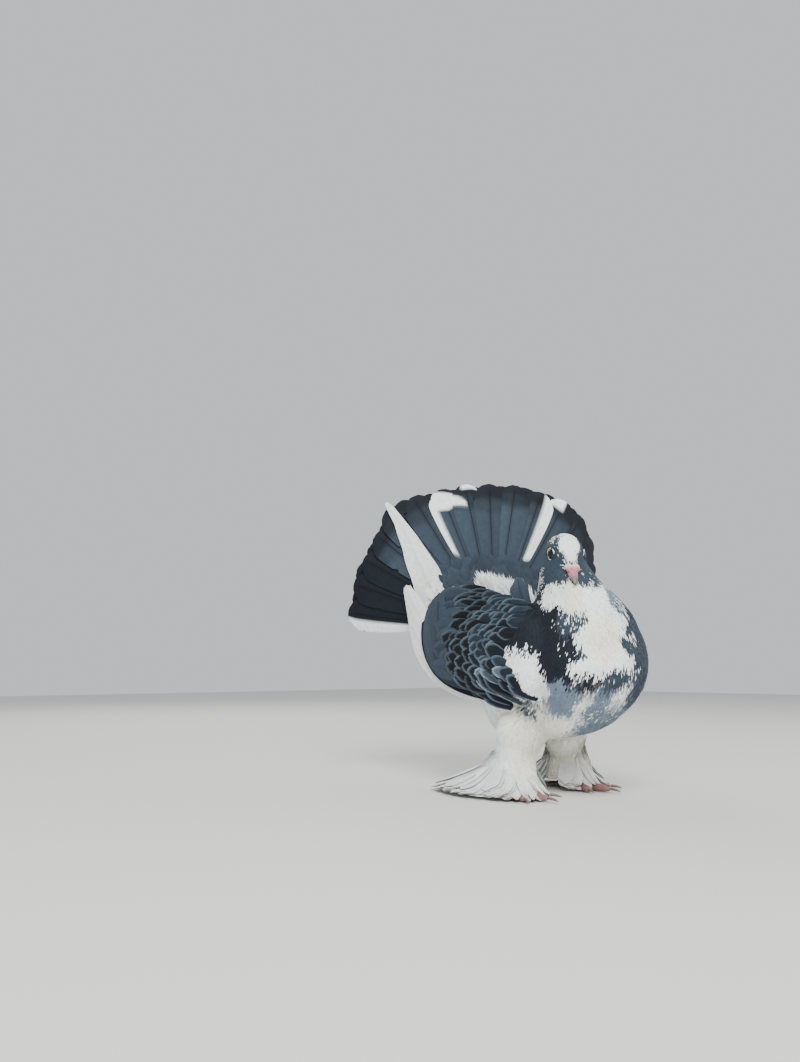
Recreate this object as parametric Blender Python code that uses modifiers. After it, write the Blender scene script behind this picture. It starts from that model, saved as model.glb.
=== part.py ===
# A fantail pigeon with feathered feet, standing with its tail fan raised, as a life-size still model.
# Metres, +Z up. The bird faces -Y, its own left side is +X, and its toes stand on Z = 0.
import math
import random

import bmesh
import bpy
from mathutils import Matrix, Vector

OBJECT_NAME = "fantail_pigeon"
GAP = 0.0003
RANDOM_SEED = 7
UP = Vector((0.0, 0.0, 1.0))

# Trunk: an egg from the puffed breast to the vent, with a ball for the breast and one for the rump
TRUNK_CENTRE = Vector((0.0, -0.012, 0.103))
TRUNK_RADII = Vector((0.054, 0.087, 0.058))
BREAST_CENTRE = Vector((-0.003, -0.050, 0.110))
BREAST_RADIUS = 0.0525
RUMP_CENTRE = Vector((0.003, 0.050, 0.132))
RUMP_RADII = Vector((0.036, 0.027, 0.034))
BODY_VOXEL = 0.0022
BODY_TRIANGLES = 1500
HEAD_SKIN_TRIANGLES = 3800
FLAT_ANGLE = math.radians(0.6)

# Neck: rings from the breast up to the nape, each as a centre and a radius
NECK_CENTRES = (
    Vector((-0.002, -0.048, 0.112)),
    Vector((-0.003, -0.050, 0.132)),
    Vector((-0.005, -0.051, 0.146)),
    Vector((-0.009, -0.051, 0.160)),
    Vector((-0.013, -0.048, 0.173)),
    Vector((-0.016, -0.045, 0.186)),
    Vector((-0.018, -0.044, 0.199)),
)
NECK_RADII = (0.0500, 0.0480, 0.0430, 0.0345, 0.0265, 0.0210, 0.0165)
NECK_FOOT = Vector((0.0, -0.050, 0.137))
NECK_FOOT_NORMAL = Vector((0.0, -0.25, 1.0)).normalized()
NECK_TOP = Vector((-0.018, -0.047, 0.1815))
NECK_TOP_NORMAL = Vector((-0.30, -0.40, 1.0)).normalized()

# Head, turned to the bird's right and lowered; places on it are in its own frame, where -Y is forward
HEAD_CENTRE = Vector((-0.018, -0.047, 0.1955))
HEAD_TURN = math.radians(-37)
HEAD_NOD = math.radians(20)
HEAD_RADII = Vector((0.0168, 0.0225, 0.0190))
HEAD_AXES = Matrix.Rotation(HEAD_TURN, 3, "Z") @ Matrix.Rotation(HEAD_NOD, 3, "X")
EYE_PLACE = Vector((0.0109, -0.0070, 0.0025))
EYE_RADIUS = 0.0052
LID_SIDE = 0.0146
LID_RADIUS = 0.0047
LID_THICKNESS = 0.0010
BILL_ROOT = Vector((0.0, -0.0176, -0.0048))
BILL_NOD = math.radians(31)
BILL_AXES = HEAD_AXES @ Matrix.Rotation(BILL_NOD, 3, "X")
BILL_LENGTH = 0.0300
BILL_RADIUS = 0.0054
MOUTH_GAP = 0.0004
CERE_PLACE = Vector((0.0029, -0.0058, 0.0032))
CERE_RADII = Vector((0.0033, 0.0050, 0.0025))
NOSTRIL_PLACE = Vector((0.0042, -0.0110, 0.0028))
NOSTRIL_RADII = Vector((0.0009, 0.0016, 0.0005))

# Tail fan: two rows of vanes spread on a cone that opens backwards, in three sectors
FAN_ROOT = Vector((0.004, 0.050, 0.138))
FAN_TURN = (
    Matrix.Rotation(math.radians(-38), 3, "Z")
    @ Matrix.Rotation(math.radians(-8), 3, "X")
    @ Matrix.Rotation(math.radians(1), 3, "Y")
)
FAN_SIDE = 80.0
FAN_SWEEP_RIGHT = 20.0
FAN_SWEEP_LEFT = 44.0
FAN_SWEEP_POWER = 2.2
FAN_RADIUS = 0.147
FAN_LONGER = 0.06
FAN_LONGER_AT = -36.0
FAN_LONGER_SPREAD = 20.0
FAN_ROW_SPACING = 10.0
FAN_BACK_ROW = -0.0036
FAN_CENTRE_LIFT = 0.0009
FAN_VANE_HALF_WIDTH = 0.0165
FAN_TWIST = math.radians(4.5)
FAN_PLATE_SPAN = (0.026, 0.048)
FAN_PLATE_LAYER = (-0.0062, 0.0024)
FAN_SECTORS = {"tail_fan_left": (-84.0, -25.0), "tail_fan_centre": (-25.0, 25.0), "tail_fan_right": (25.0, 84.0)}
VANE_THICKNESS = 0.0006

# Coverts over and under the root of the fan
COVERT_SIDE = 66.0
COVERT_SPACING = 22.0
COVERT_ROWS = ((0.040, 0.0110, 0.0050, 0.0), (0.026, 0.0105, 0.0078, 11.0))
UNDERTAIL_ROWS = ((0.036, 0.0110, -0.0092, 0.0),)
COVERT_PLATE_SPAN = (0.020, 0.036)
COVERT_PLATE_LAYER = (0.0028, 0.0088)
UNDERTAIL_PLATE_LAYER = (-0.0123, -0.0066)

# Folded wings: outline heights along Y, pitched about the shoulder
WING_PIVOT = Vector((-0.040, 0.120))
WING_PITCH = {"right": 0.0, "left": math.radians(-15)}
WING_DROP = {"right": 0.0, "left": 0.016}
WING_BOTTOM = ((-0.058, 0.106), (-0.035, 0.078), (0.000, 0.069), (0.030, 0.085), (0.056, 0.108))
WING_TOP = ((-0.058, 0.122), (-0.040, 0.150), (-0.015, 0.163), (0.020, 0.173), (0.056, 0.177))
WING_OUT = 0.0605
WING_FRONT_DEPTH = 0.030
WING_BACK_DEPTH = 0.0115
FLIGHT_COUNT = 5
VANE_RISE_POWER = 0.45
COVERT_HALF_WIDTH = 0.0100
PRIMARY_LAYERS = (-0.0103, -0.0060)
SECONDARY_LAYERS = (-0.0050, -0.0008)

# Legs, feathered feet and toes
FEET = {"right": Vector((-0.032, 0.002, 0.0)), "left": Vector((0.048, -0.002, 0.0))}
LEG_TOP = {"right": Vector((-0.024, -0.006, 0.068)), "left": Vector((0.028, -0.002, 0.068))}
HOCK = {"right": Vector((-0.0285, 0.0020, 0.034)), "left": Vector((0.0450, 0.0050, 0.034))}
LEG_RADII = (0.0225, 0.0215, 0.0195, 0.0170)
TOE_HEIGHT = 0.0030
TOE_RADIUS = 0.0036
TOE_ANGLES = (-32, 0, 32, 180)
TOE_LENGTHS = (0.030, 0.036, 0.030, 0.021)
CLAW_LENGTH = 0.010
CLAW_RADIUS = 0.0014
MUFF_TOP = 0.041
MUFF_BOTTOM = 0.0055
MUFF_CORE_RADIUS = 0.0165
MUFF_CORE_SHARE = 0.72
MUFF_CORE_FADE = 28.0
MUFF_TIERS = (
    (0.018, 0.0090, 10, 1.00, 0.0030),
    (0.014, 0.0220, 9, 0.88, 0.0075),
    (0.010, 0.0350, 7, 0.66, 0.0180),
)
MUFF_STAGGER = 0.0010
MUFF_ANGLES = (-55, 235)
MUFF_REACH = {
    "right": ((-55, 0.026), (-20, 0.038), (10, 0.042), (40, 0.042), (70, 0.035), (110, 0.034), (140, 0.052),
              (165, 0.075), (185, 0.070), (210, 0.044), (235, 0.032)),
    "left": ((-55, 0.028), (-20, 0.036), (10, 0.042), (36, 0.056), (70, 0.052), (110, 0.048), (140, 0.052),
             (165, 0.062), (185, 0.056), (210, 0.042), (235, 0.036)),
}
MUFF_HALF_WIDTH = 0.0110

SLATE = (0.09, 0.11, 0.14, 1.0)
GREY = (0.20, 0.23, 0.27, 1.0)
WHITE = (0.80, 0.79, 0.74, 1.0)
PINK = (0.70, 0.40, 0.38, 1.0)
HORN = (0.45, 0.36, 0.32, 1.0)
EYE = (0.02, 0.012, 0.01, 1.0)


# Making and joining shapes
def clear_scene():
    for old in list(bpy.data.objects):
        bpy.data.objects.remove(old, do_unlink=True)


def new_collection(name, hidden=False):
    collection = bpy.data.collections.new(name)
    bpy.context.scene.collection.children.link(collection)
    collection.hide_render = hidden
    return collection


def new_object(name, bm, collection):
    mesh = bpy.data.meshes.new(name)
    bmesh.ops.recalc_face_normals(bm, faces=bm.faces[:])
    bm.to_mesh(mesh)
    bm.free()
    made = bpy.data.objects.new(name, mesh)
    collection.objects.link(made)
    return made


def shaped_ball(name, segments, rings, shape, collection):
    """A sphere whose unit points are each moved to shape(point)."""
    bm = bmesh.new()
    bmesh.ops.create_uvsphere(bm, u_segments=segments, v_segments=rings, radius=1.0)
    for vert in bm.verts:
        vert.co = shape(vert.co.copy())
    bmesh.ops.triangulate(bm, faces=bm.faces[:])
    return new_object(name, bm, collection)


def scaled(unit, radii):
    return Vector((unit.x * radii[0], unit.y * radii[1], unit.z * radii[2]))


def ellipsoid(name, centre, radii, collection, segments=16, rings=10, axes=None):
    axes = axes or Matrix.Identity(3)

    def shape(unit):
        return centre + axes @ scaled(unit, radii)

    return shaped_ball(name, segments, rings, shape, collection)


def along_path(points, radii, part):
    """Centre, direction and radius at a share of the way along a path."""
    last = len(points) - 1
    reach = min(max(part, 0.0), 1.0) * last
    index = min(int(reach), last - 1)
    share = reach - index
    centre = points[index].lerp(points[index + 1], share)
    before = points[max(index - 1, 0)]
    after = points[min(index + 2, last)]
    straight = (points[index + 1] - points[index]).normalized()
    start = (points[index + 1] - before).normalized()
    end = (after - points[index]).normalized()
    direction = start.lerp(end, share).normalized() if last > 1 else straight
    radius = radii[index] + (radii[index + 1] - radii[index]) * share
    return centre, direction, radius


def limb(name, points, radii, collection, segments=8, rings=8, flatness=1.0, fullness=2.0):
    """A round body along a path of points, with a radius at each point and rounded ends."""

    def shape(unit):
        centre, direction, radius = along_path(points, radii, (1.0 - unit.z) / 2)
        side = direction.cross(UP)
        if side.length < 0.3:
            side = direction.cross(Vector((0, 1, 0)))
        side.normalize()
        up = side.cross(direction)
        ring = math.hypot(unit.x, unit.y)
        if ring < 1e-6:
            return centre
        full = radius * (1.0 - abs(unit.z) ** (2 * fullness)) ** 0.5 / ring
        return centre + side * (unit.x * full) + up * (unit.y * full * flatness)

    return shaped_ball(name, segments, rings, shape, collection)


def stacked(name, centres, radii, collection, segments=24, rings=24):
    """A round body of level rings, each with a centre and a radius, rounded over at both ends."""

    def shape(unit):
        centre, _, radius = along_path(centres, radii, (unit.z + 1.0) / 2)
        ring = math.hypot(unit.x, unit.y)
        if ring < 1e-6:
            return centre
        full = radius * (1.0 - unit.z ** 6) ** 0.5 / ring
        return centre + Vector((unit.x * full, unit.y * full, 0.0))

    return shaped_ball(name, segments, rings, shape, collection)


def apply_modifiers(target):
    graph = bpy.context.evaluated_depsgraph_get()
    graph.update()
    mesh = bpy.data.meshes.new_from_object(target.evaluated_get(graph))
    target.modifiers.clear()
    old = target.data
    target.data = mesh
    bpy.data.meshes.remove(old)


def triangulate(target):
    """Splits the faces into triangles, all turned outwards."""
    bm = bmesh.new()
    bm.from_mesh(target.data)
    bmesh.ops.triangulate(bm, faces=bm.faces[:])
    bmesh.ops.recalc_face_normals(bm, faces=bm.faces[:])
    bm.to_mesh(target.data)
    bm.free()


def island_of(seed):
    """All the points joined to this one by edges."""
    island = {seed}
    front = [seed]
    while front:
        vert = front.pop()
        for edge in vert.link_edges:
            other = edge.other_vert(vert)
            if other not in island:
                island.add(other)
                front.append(other)
    return island


def held_volume(island):
    volume = 0.0
    for face in {face for vert in island for face in vert.link_faces}:
        corners = [vert.co for vert in face.verts]
        for second, third in zip(corners[1:-1], corners[2:]):
            volume += corners[0].dot(second.cross(third)) / 6
    return volume


def keep_largest(target):
    """Keeps the one closed surface that holds the most volume."""
    bm = bmesh.new()
    bm.from_mesh(target.data)
    islands = []
    left = set(bm.verts)
    while left:
        island = island_of(next(iter(left)))
        left -= island
        islands.append(island)
    kept = max(islands, key=held_volume)
    bmesh.ops.delete(bm, geom=[vert for vert in bm.verts if vert not in kept], context="VERTS")
    bm.to_mesh(target.data)
    bm.free()


def boolean(target, others, operation, solver="MANIFOLD"):
    """Joins, cuts or keeps what the target shares with the others, which are then removed."""
    tools = new_collection("boolean_tools", hidden=True)
    for other in others:
        for owner in list(other.users_collection):
            owner.objects.unlink(other)
        tools.objects.link(other)
    modifier = target.modifiers.new(operation.lower(), "BOOLEAN")
    modifier.operation = operation
    modifier.solver = solver
    modifier.operand_type = "COLLECTION"
    modifier.collection = tools
    apply_modifiers(target)
    for other in others:
        bpy.data.objects.remove(other, do_unlink=True)
    bpy.data.collections.remove(tools)
    triangulate(target)


def join(name, pieces, collection):
    """One closed body from overlapping pieces."""
    target = pieces[0]
    target.name = name
    if len(pieces) > 1:
        boolean(target, pieces[1:], "UNION")
    keep_largest(target)
    for owner in list(target.users_collection):
        owner.objects.unlink(target)
    collection.objects.link(target)
    return target


def fewer_triangles(target):
    """Merges the slivers that a union leaves lying in one plane."""
    modifier = target.modifiers.new("flat", "DECIMATE")
    modifier.decimate_type = "DISSOLVE"
    modifier.angle_limit = FLAT_ANGLE
    apply_modifiers(target)
    triangulate(target)


def inflated(source, by, collection):
    """A copy whose surface stands off by the given distance."""
    copy = bpy.data.objects.new(source.name + "_offset", source.data.copy())
    collection.objects.link(copy)
    normals = [vert.normal.copy() for vert in copy.data.vertices]
    for vert, normal in zip(copy.data.vertices, normals):
        vert.co += normal * by
    return copy


def clear_of(target, neighbours, bench):
    """Cuts the target back from its neighbours by the gap."""
    for neighbour in neighbours:
        for distance in (GAP, 0.0):
            boolean(target, [inflated(neighbour, distance, bench)], "DIFFERENCE")
    keep_largest(target)


def keep_side(target, point, normal, bench):
    """Keeps what lies on the side of a plane that its normal points to."""
    reach = 0.5
    turn = normal.to_track_quat("Z", "Y").to_matrix()
    block = bmesh.new()
    bmesh.ops.create_cube(block, size=2 * reach)
    for vert in block.verts:
        vert.co = point + turn @ vert.co + normal.normalized() * reach
    boolean(target, [new_object("block", block, bench)], "INTERSECT")
    keep_largest(target)


def layered_grid(name, columns, rows, place, collection):
    """A thin closed slab: place(x, y, layer) with x, y in -1..1 and layer 0 on its face, 1 on its back."""
    bm = bmesh.new()
    bmesh.ops.create_grid(bm, x_segments=columns, y_segments=rows, size=1.0)
    bmesh.ops.triangulate(bm, faces=bm.faces[:])
    pulled = bmesh.ops.extrude_face_region(bm, geom=bm.faces[:])
    backs = [item for item in pulled["geom"] if isinstance(item, bmesh.types.BMVert)]
    bmesh.ops.translate(bm, verts=backs, vec=(0, 0, 1.0))
    for vert in bm.verts:
        vert.co = place(vert.co.x, vert.co.y, vert.co.z)
    bmesh.ops.triangulate(bm, faces=bm.faces[:])
    return new_object(name, bm, collection)


def vane_share(part, root_share, tip_share, widest):
    """Half-width along a feather as a share of its widest: slim at the quill, blunt at the tip."""
    if part < widest:
        return root_share + (1 - root_share) * math.sin(part / widest * math.pi / 2) ** 1.2
    return 1 - (1 - tip_share) * ((part - widest) / (1 - widest)) ** 2


def vane(line, length, half_width, collection, steps=4, tip_share=0.6, widest=0.8, root_share=0.25,
         rounding=0.05):
    """A feather as a thin closed blade. line(distance) gives its centre, side and face directions."""
    forward = (line(length)[0] - line(0.0)[0]).normalized()

    def place(x, y, layer):
        part = ((y + 1) / 2) ** 0.85
        centre, side, face = line(part * length)
        reach = x * half_width * vane_share(part, root_share, tip_share, widest)
        round_back = rounding * length * abs(x) if part > 0.999 else 0.0
        depth = layer * VANE_THICKNESS * (1.0 - 0.25 * part)
        return centre + side * reach - face * depth - forward * round_back

    return layered_grid("vane", 2, steps, place, collection)


# Trunk, neck and head
def body_whole(triangles, bench):
    """Trunk, breast, rump, neck and skull as one smooth skin of about so many triangles."""

    def trunk_shape(unit):
        rear = max(unit.y, 0.0) ** 2
        x = unit.x * TRUNK_RADII.x * (1 - 0.30 * rear)
        z = unit.z * TRUNK_RADII.z * (1 - 0.28 * rear) + 0.012 * rear
        return TRUNK_CENTRE + Vector((x, unit.y * TRUNK_RADII.y, z))

    pieces = [
        shaped_ball("trunk", 32, 24, trunk_shape, bench),
        ellipsoid("breast", BREAST_CENTRE, [BREAST_RADIUS] * 3, bench, 32, 20),
        ellipsoid("rump", RUMP_CENTRE, RUMP_RADII, bench, 24, 16),
        stacked("nape", NECK_CENTRES, NECK_RADII, bench),
        ellipsoid("skull", HEAD_CENTRE, HEAD_RADII, bench, 32, 20, HEAD_AXES),
    ]
    whole = join("whole", pieces, bench)
    remesh = whole.modifiers.new("even", "REMESH")
    remesh.mode = "VOXEL"
    remesh.voxel_size = BODY_VOXEL
    smooth = whole.modifiers.new("soft", "SMOOTH")
    smooth.factor = 0.5
    smooth.iterations = 26
    apply_modifiers(whole)
    triangulate(whole)
    thin = whole.modifiers.new("few", "DECIMATE")
    thin.ratio = triangles / len(whole.data.polygons)
    apply_modifiers(whole)
    return whole


def copy_of(source, collection):
    copy = bpy.data.objects.new(source.name + "_copy", source.data.copy())
    collection.objects.link(copy)
    return copy


def on_head(place):
    return HEAD_CENTRE + HEAD_AXES @ Vector(place)


def on_bill(place):
    return on_head(BILL_ROOT) + BILL_AXES @ Vector(place)


def mirrored(place, side):
    return Vector((place[0] * side, place[1], place[2]))


def lid_ring(side, bench):
    bpy.ops.mesh.primitive_torus_add(
        major_radius=LID_RADIUS, minor_radius=LID_THICKNESS, major_segments=16, minor_segments=5
    )
    ring = bpy.context.object
    for owner in list(ring.users_collection):
        owner.objects.unlink(ring)
    bench.objects.link(ring)
    turn = Matrix.Rotation(math.radians(90), 3, "Y")
    for vert in ring.data.vertices:
        place = turn @ vert.co
        vert.co = on_head(place + Vector((side * LID_SIDE, EYE_PLACE.y, EYE_PLACE.z)))
    triangulate(ring)
    return ring


def build_body(parts, bench):
    coarse = body_whole(BODY_TRIANGLES, bench)
    torso = copy_of(coarse, parts)
    torso.name = "torso"
    keep_side(torso, NECK_FOOT - NECK_FOOT_NORMAL * GAP / 2, -NECK_FOOT_NORMAL, bench)
    neck = copy_of(coarse, parts)
    neck.name = "neck"
    keep_side(neck, NECK_FOOT + NECK_FOOT_NORMAL * GAP / 2, NECK_FOOT_NORMAL, bench)
    keep_side(neck, NECK_TOP - NECK_TOP_NORMAL * GAP / 2, -NECK_TOP_NORMAL, bench)
    bpy.data.objects.remove(coarse, do_unlink=True)

    head = body_whole(HEAD_SKIN_TRIANGLES, bench)
    keep_side(head, NECK_TOP + NECK_TOP_NORMAL * GAP / 2, NECK_TOP_NORMAL, bench)
    head = join("head", [head] + [lid_ring(side, bench) for side in (-1, 1)], parts)
    nodes = {"torso": torso, "neck": neck, "head": head}
    for name, side in (("eye_right", -1), ("eye_left", 1)):
        centre = on_head(mirrored(EYE_PLACE, side))
        eye = ellipsoid(name, centre, [EYE_RADIUS] * 3, parts, 12, 8)
        socket = ellipsoid("socket", centre, [EYE_RADIUS + GAP] * 3, bench, 12, 8)
        boolean(head, [socket], "DIFFERENCE")
        nodes[name] = eye
    keep_largest(head)
    return nodes


def build_bill(nodes, parts, bench):
    upper_path = [on_bill(place) for place in ((0, 0.004, 0), (0, -0.0085, 0.0004), (0, -0.0180, -0.0004),
                                               (0, -BILL_LENGTH, -0.0034))]
    lower_path = [on_bill(place) for place in ((0, 0.0, -0.0002), (0, -0.009, -0.0006),
                                               (0, -0.0222, -0.0006))]
    upper = [limb("culmen", upper_path, (BILL_RADIUS, 0.0045, 0.0029, 0.0007), bench, 10, 9, 0.95)]
    for side in (-1, 1):
        place = on_bill(mirrored(CERE_PLACE, side))
        upper.append(ellipsoid("cere", place, CERE_RADII, bench, 8, 6, BILL_AXES))
    upper = join("bill_upper", upper, parts)
    for side in (-1, 1):
        place = on_bill(mirrored(NOSTRIL_PLACE, side))
        boolean(upper, [ellipsoid("nostril", place, NOSTRIL_RADII, bench, 6, 4, BILL_AXES)], "DIFFERENCE")
    lower = limb("bill_lower", lower_path, (0.0037, 0.0029, 0.0007), parts, 10, 8, 0.85)
    mouth = on_bill((0, 0, -0.0008))
    mouth_up = (BILL_AXES @ Vector((0, 0.06, 1.0))).normalized()
    keep_side(upper, mouth + mouth_up * MOUTH_GAP / 2, mouth_up, bench)
    keep_side(lower, mouth - mouth_up * MOUTH_GAP / 2, -mouth_up, bench)
    clear_of(upper, [nodes["head"]], bench)
    clear_of(lower, [nodes["head"]], bench)
    nodes["bill_upper"] = upper
    nodes["bill_lower"] = lower


# Tail fan and its coverts
def fan_ray(degrees):
    """The direction of a feather on the fan's cone."""
    angle = math.radians(degrees)
    most = FAN_SWEEP_RIGHT if degrees > 0 else FAN_SWEEP_LEFT
    sweep = math.radians(most) * (abs(degrees) / FAN_SIDE) ** FAN_SWEEP_POWER
    across = math.sin(angle)
    return FAN_TURN @ Vector((-across * math.cos(sweep), abs(across) * math.sin(sweep), math.cos(angle)))


def fan_reach(degrees):
    """The fan's radius at an angle, a little longer on one side of the top."""
    return FAN_RADIUS * (1 + FAN_LONGER * math.exp(-((degrees - FAN_LONGER_AT) / FAN_LONGER_SPREAD) ** 2))


def fan_frame(degrees):
    """Ray, side (towards the bird's right) and face (forward) at an angle of the fan."""
    ray = fan_ray(degrees)
    step = 0.5
    side = (fan_ray(degrees + step) - fan_ray(degrees - step)).normalized()
    face = side.cross(ray).normalized()
    if face.y > 0:
        face.negate()
    return ray, side, face


def fan_line(degrees, start, layer, twist, bend=0.0):
    """The centre line of one fan feather, tilted about its shaft so that it laps over the next."""
    ray, side, face = fan_frame(degrees)
    turned_side = side * math.cos(twist) + face * math.sin(twist)
    turned_face = face * math.cos(twist) - side * math.sin(twist)

    def line(distance):
        centre = FAN_ROOT + ray * (start + distance) + face * (layer + bend * distance**2)
        return centre, turned_side, turned_face

    return line


def fan_plate(name, edges, span, layers, collection):
    """The fleshy root that a sector's feathers grow from."""
    low, high = edges
    columns = max(2, round((high - low) / 12))

    def place(x, y, layer):
        ray, side, face = fan_frame(low + (x + 1) / 2 * (high - low))
        radius = span[0] + (y + 1) / 2 * (span[1] - span[0])
        depth = layers[1] + (layers[0] - layers[1]) * layer
        taper = 0.55 if y > 0.9 else 1.0
        middle = (layers[0] + layers[1]) / 2
        return FAN_ROOT + ray * radius + face * (middle + (depth - middle) * taper)

    return layered_grid(name, columns, 1, place, collection)


def lap_twist(degrees, amount):
    return math.copysign(amount, degrees) if abs(degrees) > 1e-6 else 0.0


def build_fan(nodes, parts, bench):
    half = FAN_ROW_SPACING / 2
    rows = round(FAN_SIDE / FAN_ROW_SPACING)
    front = [(index * FAN_ROW_SPACING, 0.0) for index in range(-rows, rows + 1)]
    back = [(index * FAN_ROW_SPACING + half, FAN_BACK_ROW) for index in range(-rows, rows)]
    start = FAN_PLATE_SPAN[0] + 0.012
    for name, (low, high) in FAN_SECTORS.items():
        plate_edges = (max(low, -FAN_SIDE) - 2, min(high, FAN_SIDE) + 2)
        pieces = [fan_plate(name, plate_edges, FAN_PLATE_SPAN, FAN_PLATE_LAYER, bench)]
        for degrees, layer in front + back:
            if not low - 0.5 <= degrees <= high + 0.5:
                continue
            lift = FAN_CENTRE_LIFT if degrees == 0 else 0.0
            length = (fan_reach(degrees) - start) * random.uniform(0.965, 1.0)
            line = fan_line(degrees, start, layer + lift, lap_twist(degrees, FAN_TWIST))
            pieces.append(vane(line, length, FAN_VANE_HALF_WIDTH, bench, steps=4, tip_share=0.72,
                               widest=0.88, root_share=0.2, rounding=0.045))
        fan = join(name, pieces, parts)
        for edge, sign in ((low, 1), (high, -1)):
            if abs(edge) < FAN_SIDE:
                side = fan_frame(edge)[1] * sign
                keep_side(fan, FAN_ROOT + side * GAP / 2, side, bench)
        clear_of(fan, [nodes["torso"]], bench)
        nodes[name] = fan


def build_coverts(name, rows, layers, nodes, parts, bench):
    edges = (-COVERT_SIDE - 6, COVERT_SIDE + 6)
    pieces = [fan_plate(name, edges, COVERT_PLATE_SPAN, layers, bench)]
    start = COVERT_PLATE_SPAN[1] - 0.010
    for length, half_width, layer, shift in rows:
        degrees = -COVERT_SIDE + shift
        while degrees <= COVERT_SIDE + 0.1:
            long = length * random.uniform(0.92, 1.05)
            line = fan_line(degrees, start, layer, lap_twist(degrees, FAN_TWIST))
            pieces.append(vane(line, long, half_width, bench, steps=2, tip_share=0.5, widest=0.6,
                               root_share=0.5, rounding=0.12))
            degrees += COVERT_SPACING
    made = join(name, pieces, parts)
    clear_of(made, [nodes["torso"]], bench)
    nodes[name] = made


# Wings
def read_outline(outline, y):
    """The height of an outline at y, by straight runs between its points."""
    for (y0, z0), (y1, z1) in zip(outline[:-1], outline[1:]):
        if y <= y1:
            break
    return z0 + (z1 - z0) * (y - y0) / (y1 - y0)


def wing_point(side_name, y, z, layer):
    """A point on the wing's outer surface, or that far off it, pitched about the shoulder."""
    side = -1 if side_name == "right" else 1
    pitch = WING_PITCH[side_name]
    dy = y - WING_PIVOT.x
    dz = z - WING_PIVOT.y
    turned_y = WING_PIVOT.x + dy * math.cos(pitch) - dz * math.sin(pitch)
    turned_z = WING_PIVOT.y + dy * math.sin(pitch) + dz * math.cos(pitch) - WING_DROP[side_name]
    high = max(0.0, turned_z - 0.120) * (1 - 0.7 * min(max((y - 0.030) / 0.050, 0.0), 1.0))
    low = max(0.0, 0.105 - turned_z)
    fore = max(0.0, -0.030 - y)
    out = WING_OUT - 8.0 * high**2 - 12.0 * low**2 - 6.0 * fore**2 + layer
    return Vector((side * out, turned_y, turned_z))


def wing_shield(side_name, bench):
    front, back = WING_BOTTOM[0][0], WING_BOTTOM[-1][0]

    def place(x, y, layer):
        along = front + (x + 1) / 2 * (back - front)
        low = read_outline(WING_BOTTOM, along)
        high = read_outline(WING_TOP, along)
        height = low + (y + 1) / 2 * (high - low)
        part = (x + 1) / 2
        depth = WING_FRONT_DEPTH + (WING_BACK_DEPTH - WING_FRONT_DEPTH) * min(1.0, part * 1.25)
        edge = 0.003 * max(abs(x), abs(y)) ** 8
        return wing_point(side_name, along, height, -edge if layer < 0.5 else -depth)

    return layered_grid("shield", 7, 4, place, bench)


def wing_line(side_name, start, middle, end, layers):
    """A feather's centre line on the wing's surface through three (y, z) places."""

    def point(part, layer):
        a, b, c = (1 - part) ** 2, 2 * part * (1 - part), part**2
        y = a * start[0] + b * middle[0] + c * end[0]
        z = a * start[1] + b * middle[1] + c * end[1]
        return wing_point(side_name, y, z, layer)

    length = (point(1.0, 0) - point(0.5, 0)).length + (point(0.5, 0) - point(0.0, 0)).length

    def line(distance):
        part = min(distance / length, 1.0)
        layer = layers[0] + (layers[1] - layers[0]) * part ** VANE_RISE_POWER
        centre = point(part, layer)
        forward = (point(min(part + 0.02, 1.0), layer) - point(part - 0.02, layer)).normalized()
        outward = Vector((-1 if side_name == "right" else 1, 0, 0))
        side = outward.cross(forward).normalized()
        face = forward.cross(side).normalized()
        if face.dot(outward) < 0:
            face.negate()
        return centre, side, face

    return line, length


def between(pair, part):
    return pair[0] + (pair[1] - pair[0]) * part


def between_points(first, second, part):
    return (between((first[0], second[0]), part), between((first[1], second[1]), part))


def build_wing(side_name, nodes, parts, bench):
    pieces = [wing_shield(side_name, bench)]
    for index in range(FLIGHT_COUNT):
        part = index / (FLIGHT_COUNT - 1)
        layer = between(PRIMARY_LAYERS, part)
        line, length = wing_line(
            side_name,
            between_points((0.006, 0.088), (0.030, 0.112), part),
            between_points((0.058, 0.100), (0.066, 0.130), part),
            between_points((0.100, 0.151), (0.108, 0.176), part),
            (layer, layer),
        )
        pieces.append(vane(line, length, 0.0085, bench, steps=4, tip_share=0.45, widest=0.6,
                           root_share=0.6, rounding=0.06))
    for index in range(FLIGHT_COUNT):
        part = index / (FLIGHT_COUNT - 1)
        layer = between(SECONDARY_LAYERS, part)
        line, length = wing_line(
            side_name,
            between_points((0.020, 0.098), (0.020, 0.160), part),
            between_points((0.048, 0.108), (0.050, 0.170), part),
            between_points((0.076, 0.128), (0.084, 0.166), part),
            (layer, layer),
        )
        pieces.append(vane(line, length, 0.0115, bench, steps=3, tip_share=0.6, widest=0.75,
                           root_share=0.6, rounding=0.12))
    for start_y, reach, count in ((0.022, 0.034, 4), (-0.012, 0.034, 4)):
        for index in range(count):
            part = (index + 0.5) / count
            low = read_outline(WING_BOTTOM, start_y) + 0.006
            high = read_outline(WING_TOP, start_y) - 0.006
            z = low + (high - low) * part
            rise = 0.010 * (0.5 - part) + 0.010
            line, length = wing_line(
                side_name,
                (start_y, z),
                (start_y + reach * 0.5, z + rise * 0.6),
                (start_y + reach, z + rise),
                (-0.0040, 0.0012 + 0.0010 * (index % 2)),
            )
            pieces.append(vane(line, length, COVERT_HALF_WIDTH, bench, steps=2, tip_share=0.6, widest=0.65,
                               root_share=0.6, rounding=0.16))
    name = "wing_" + side_name
    wing = join(name, pieces, parts)
    clear_of(wing, [nodes["torso"], nodes["neck"]], bench)
    nodes[name] = wing


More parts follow.
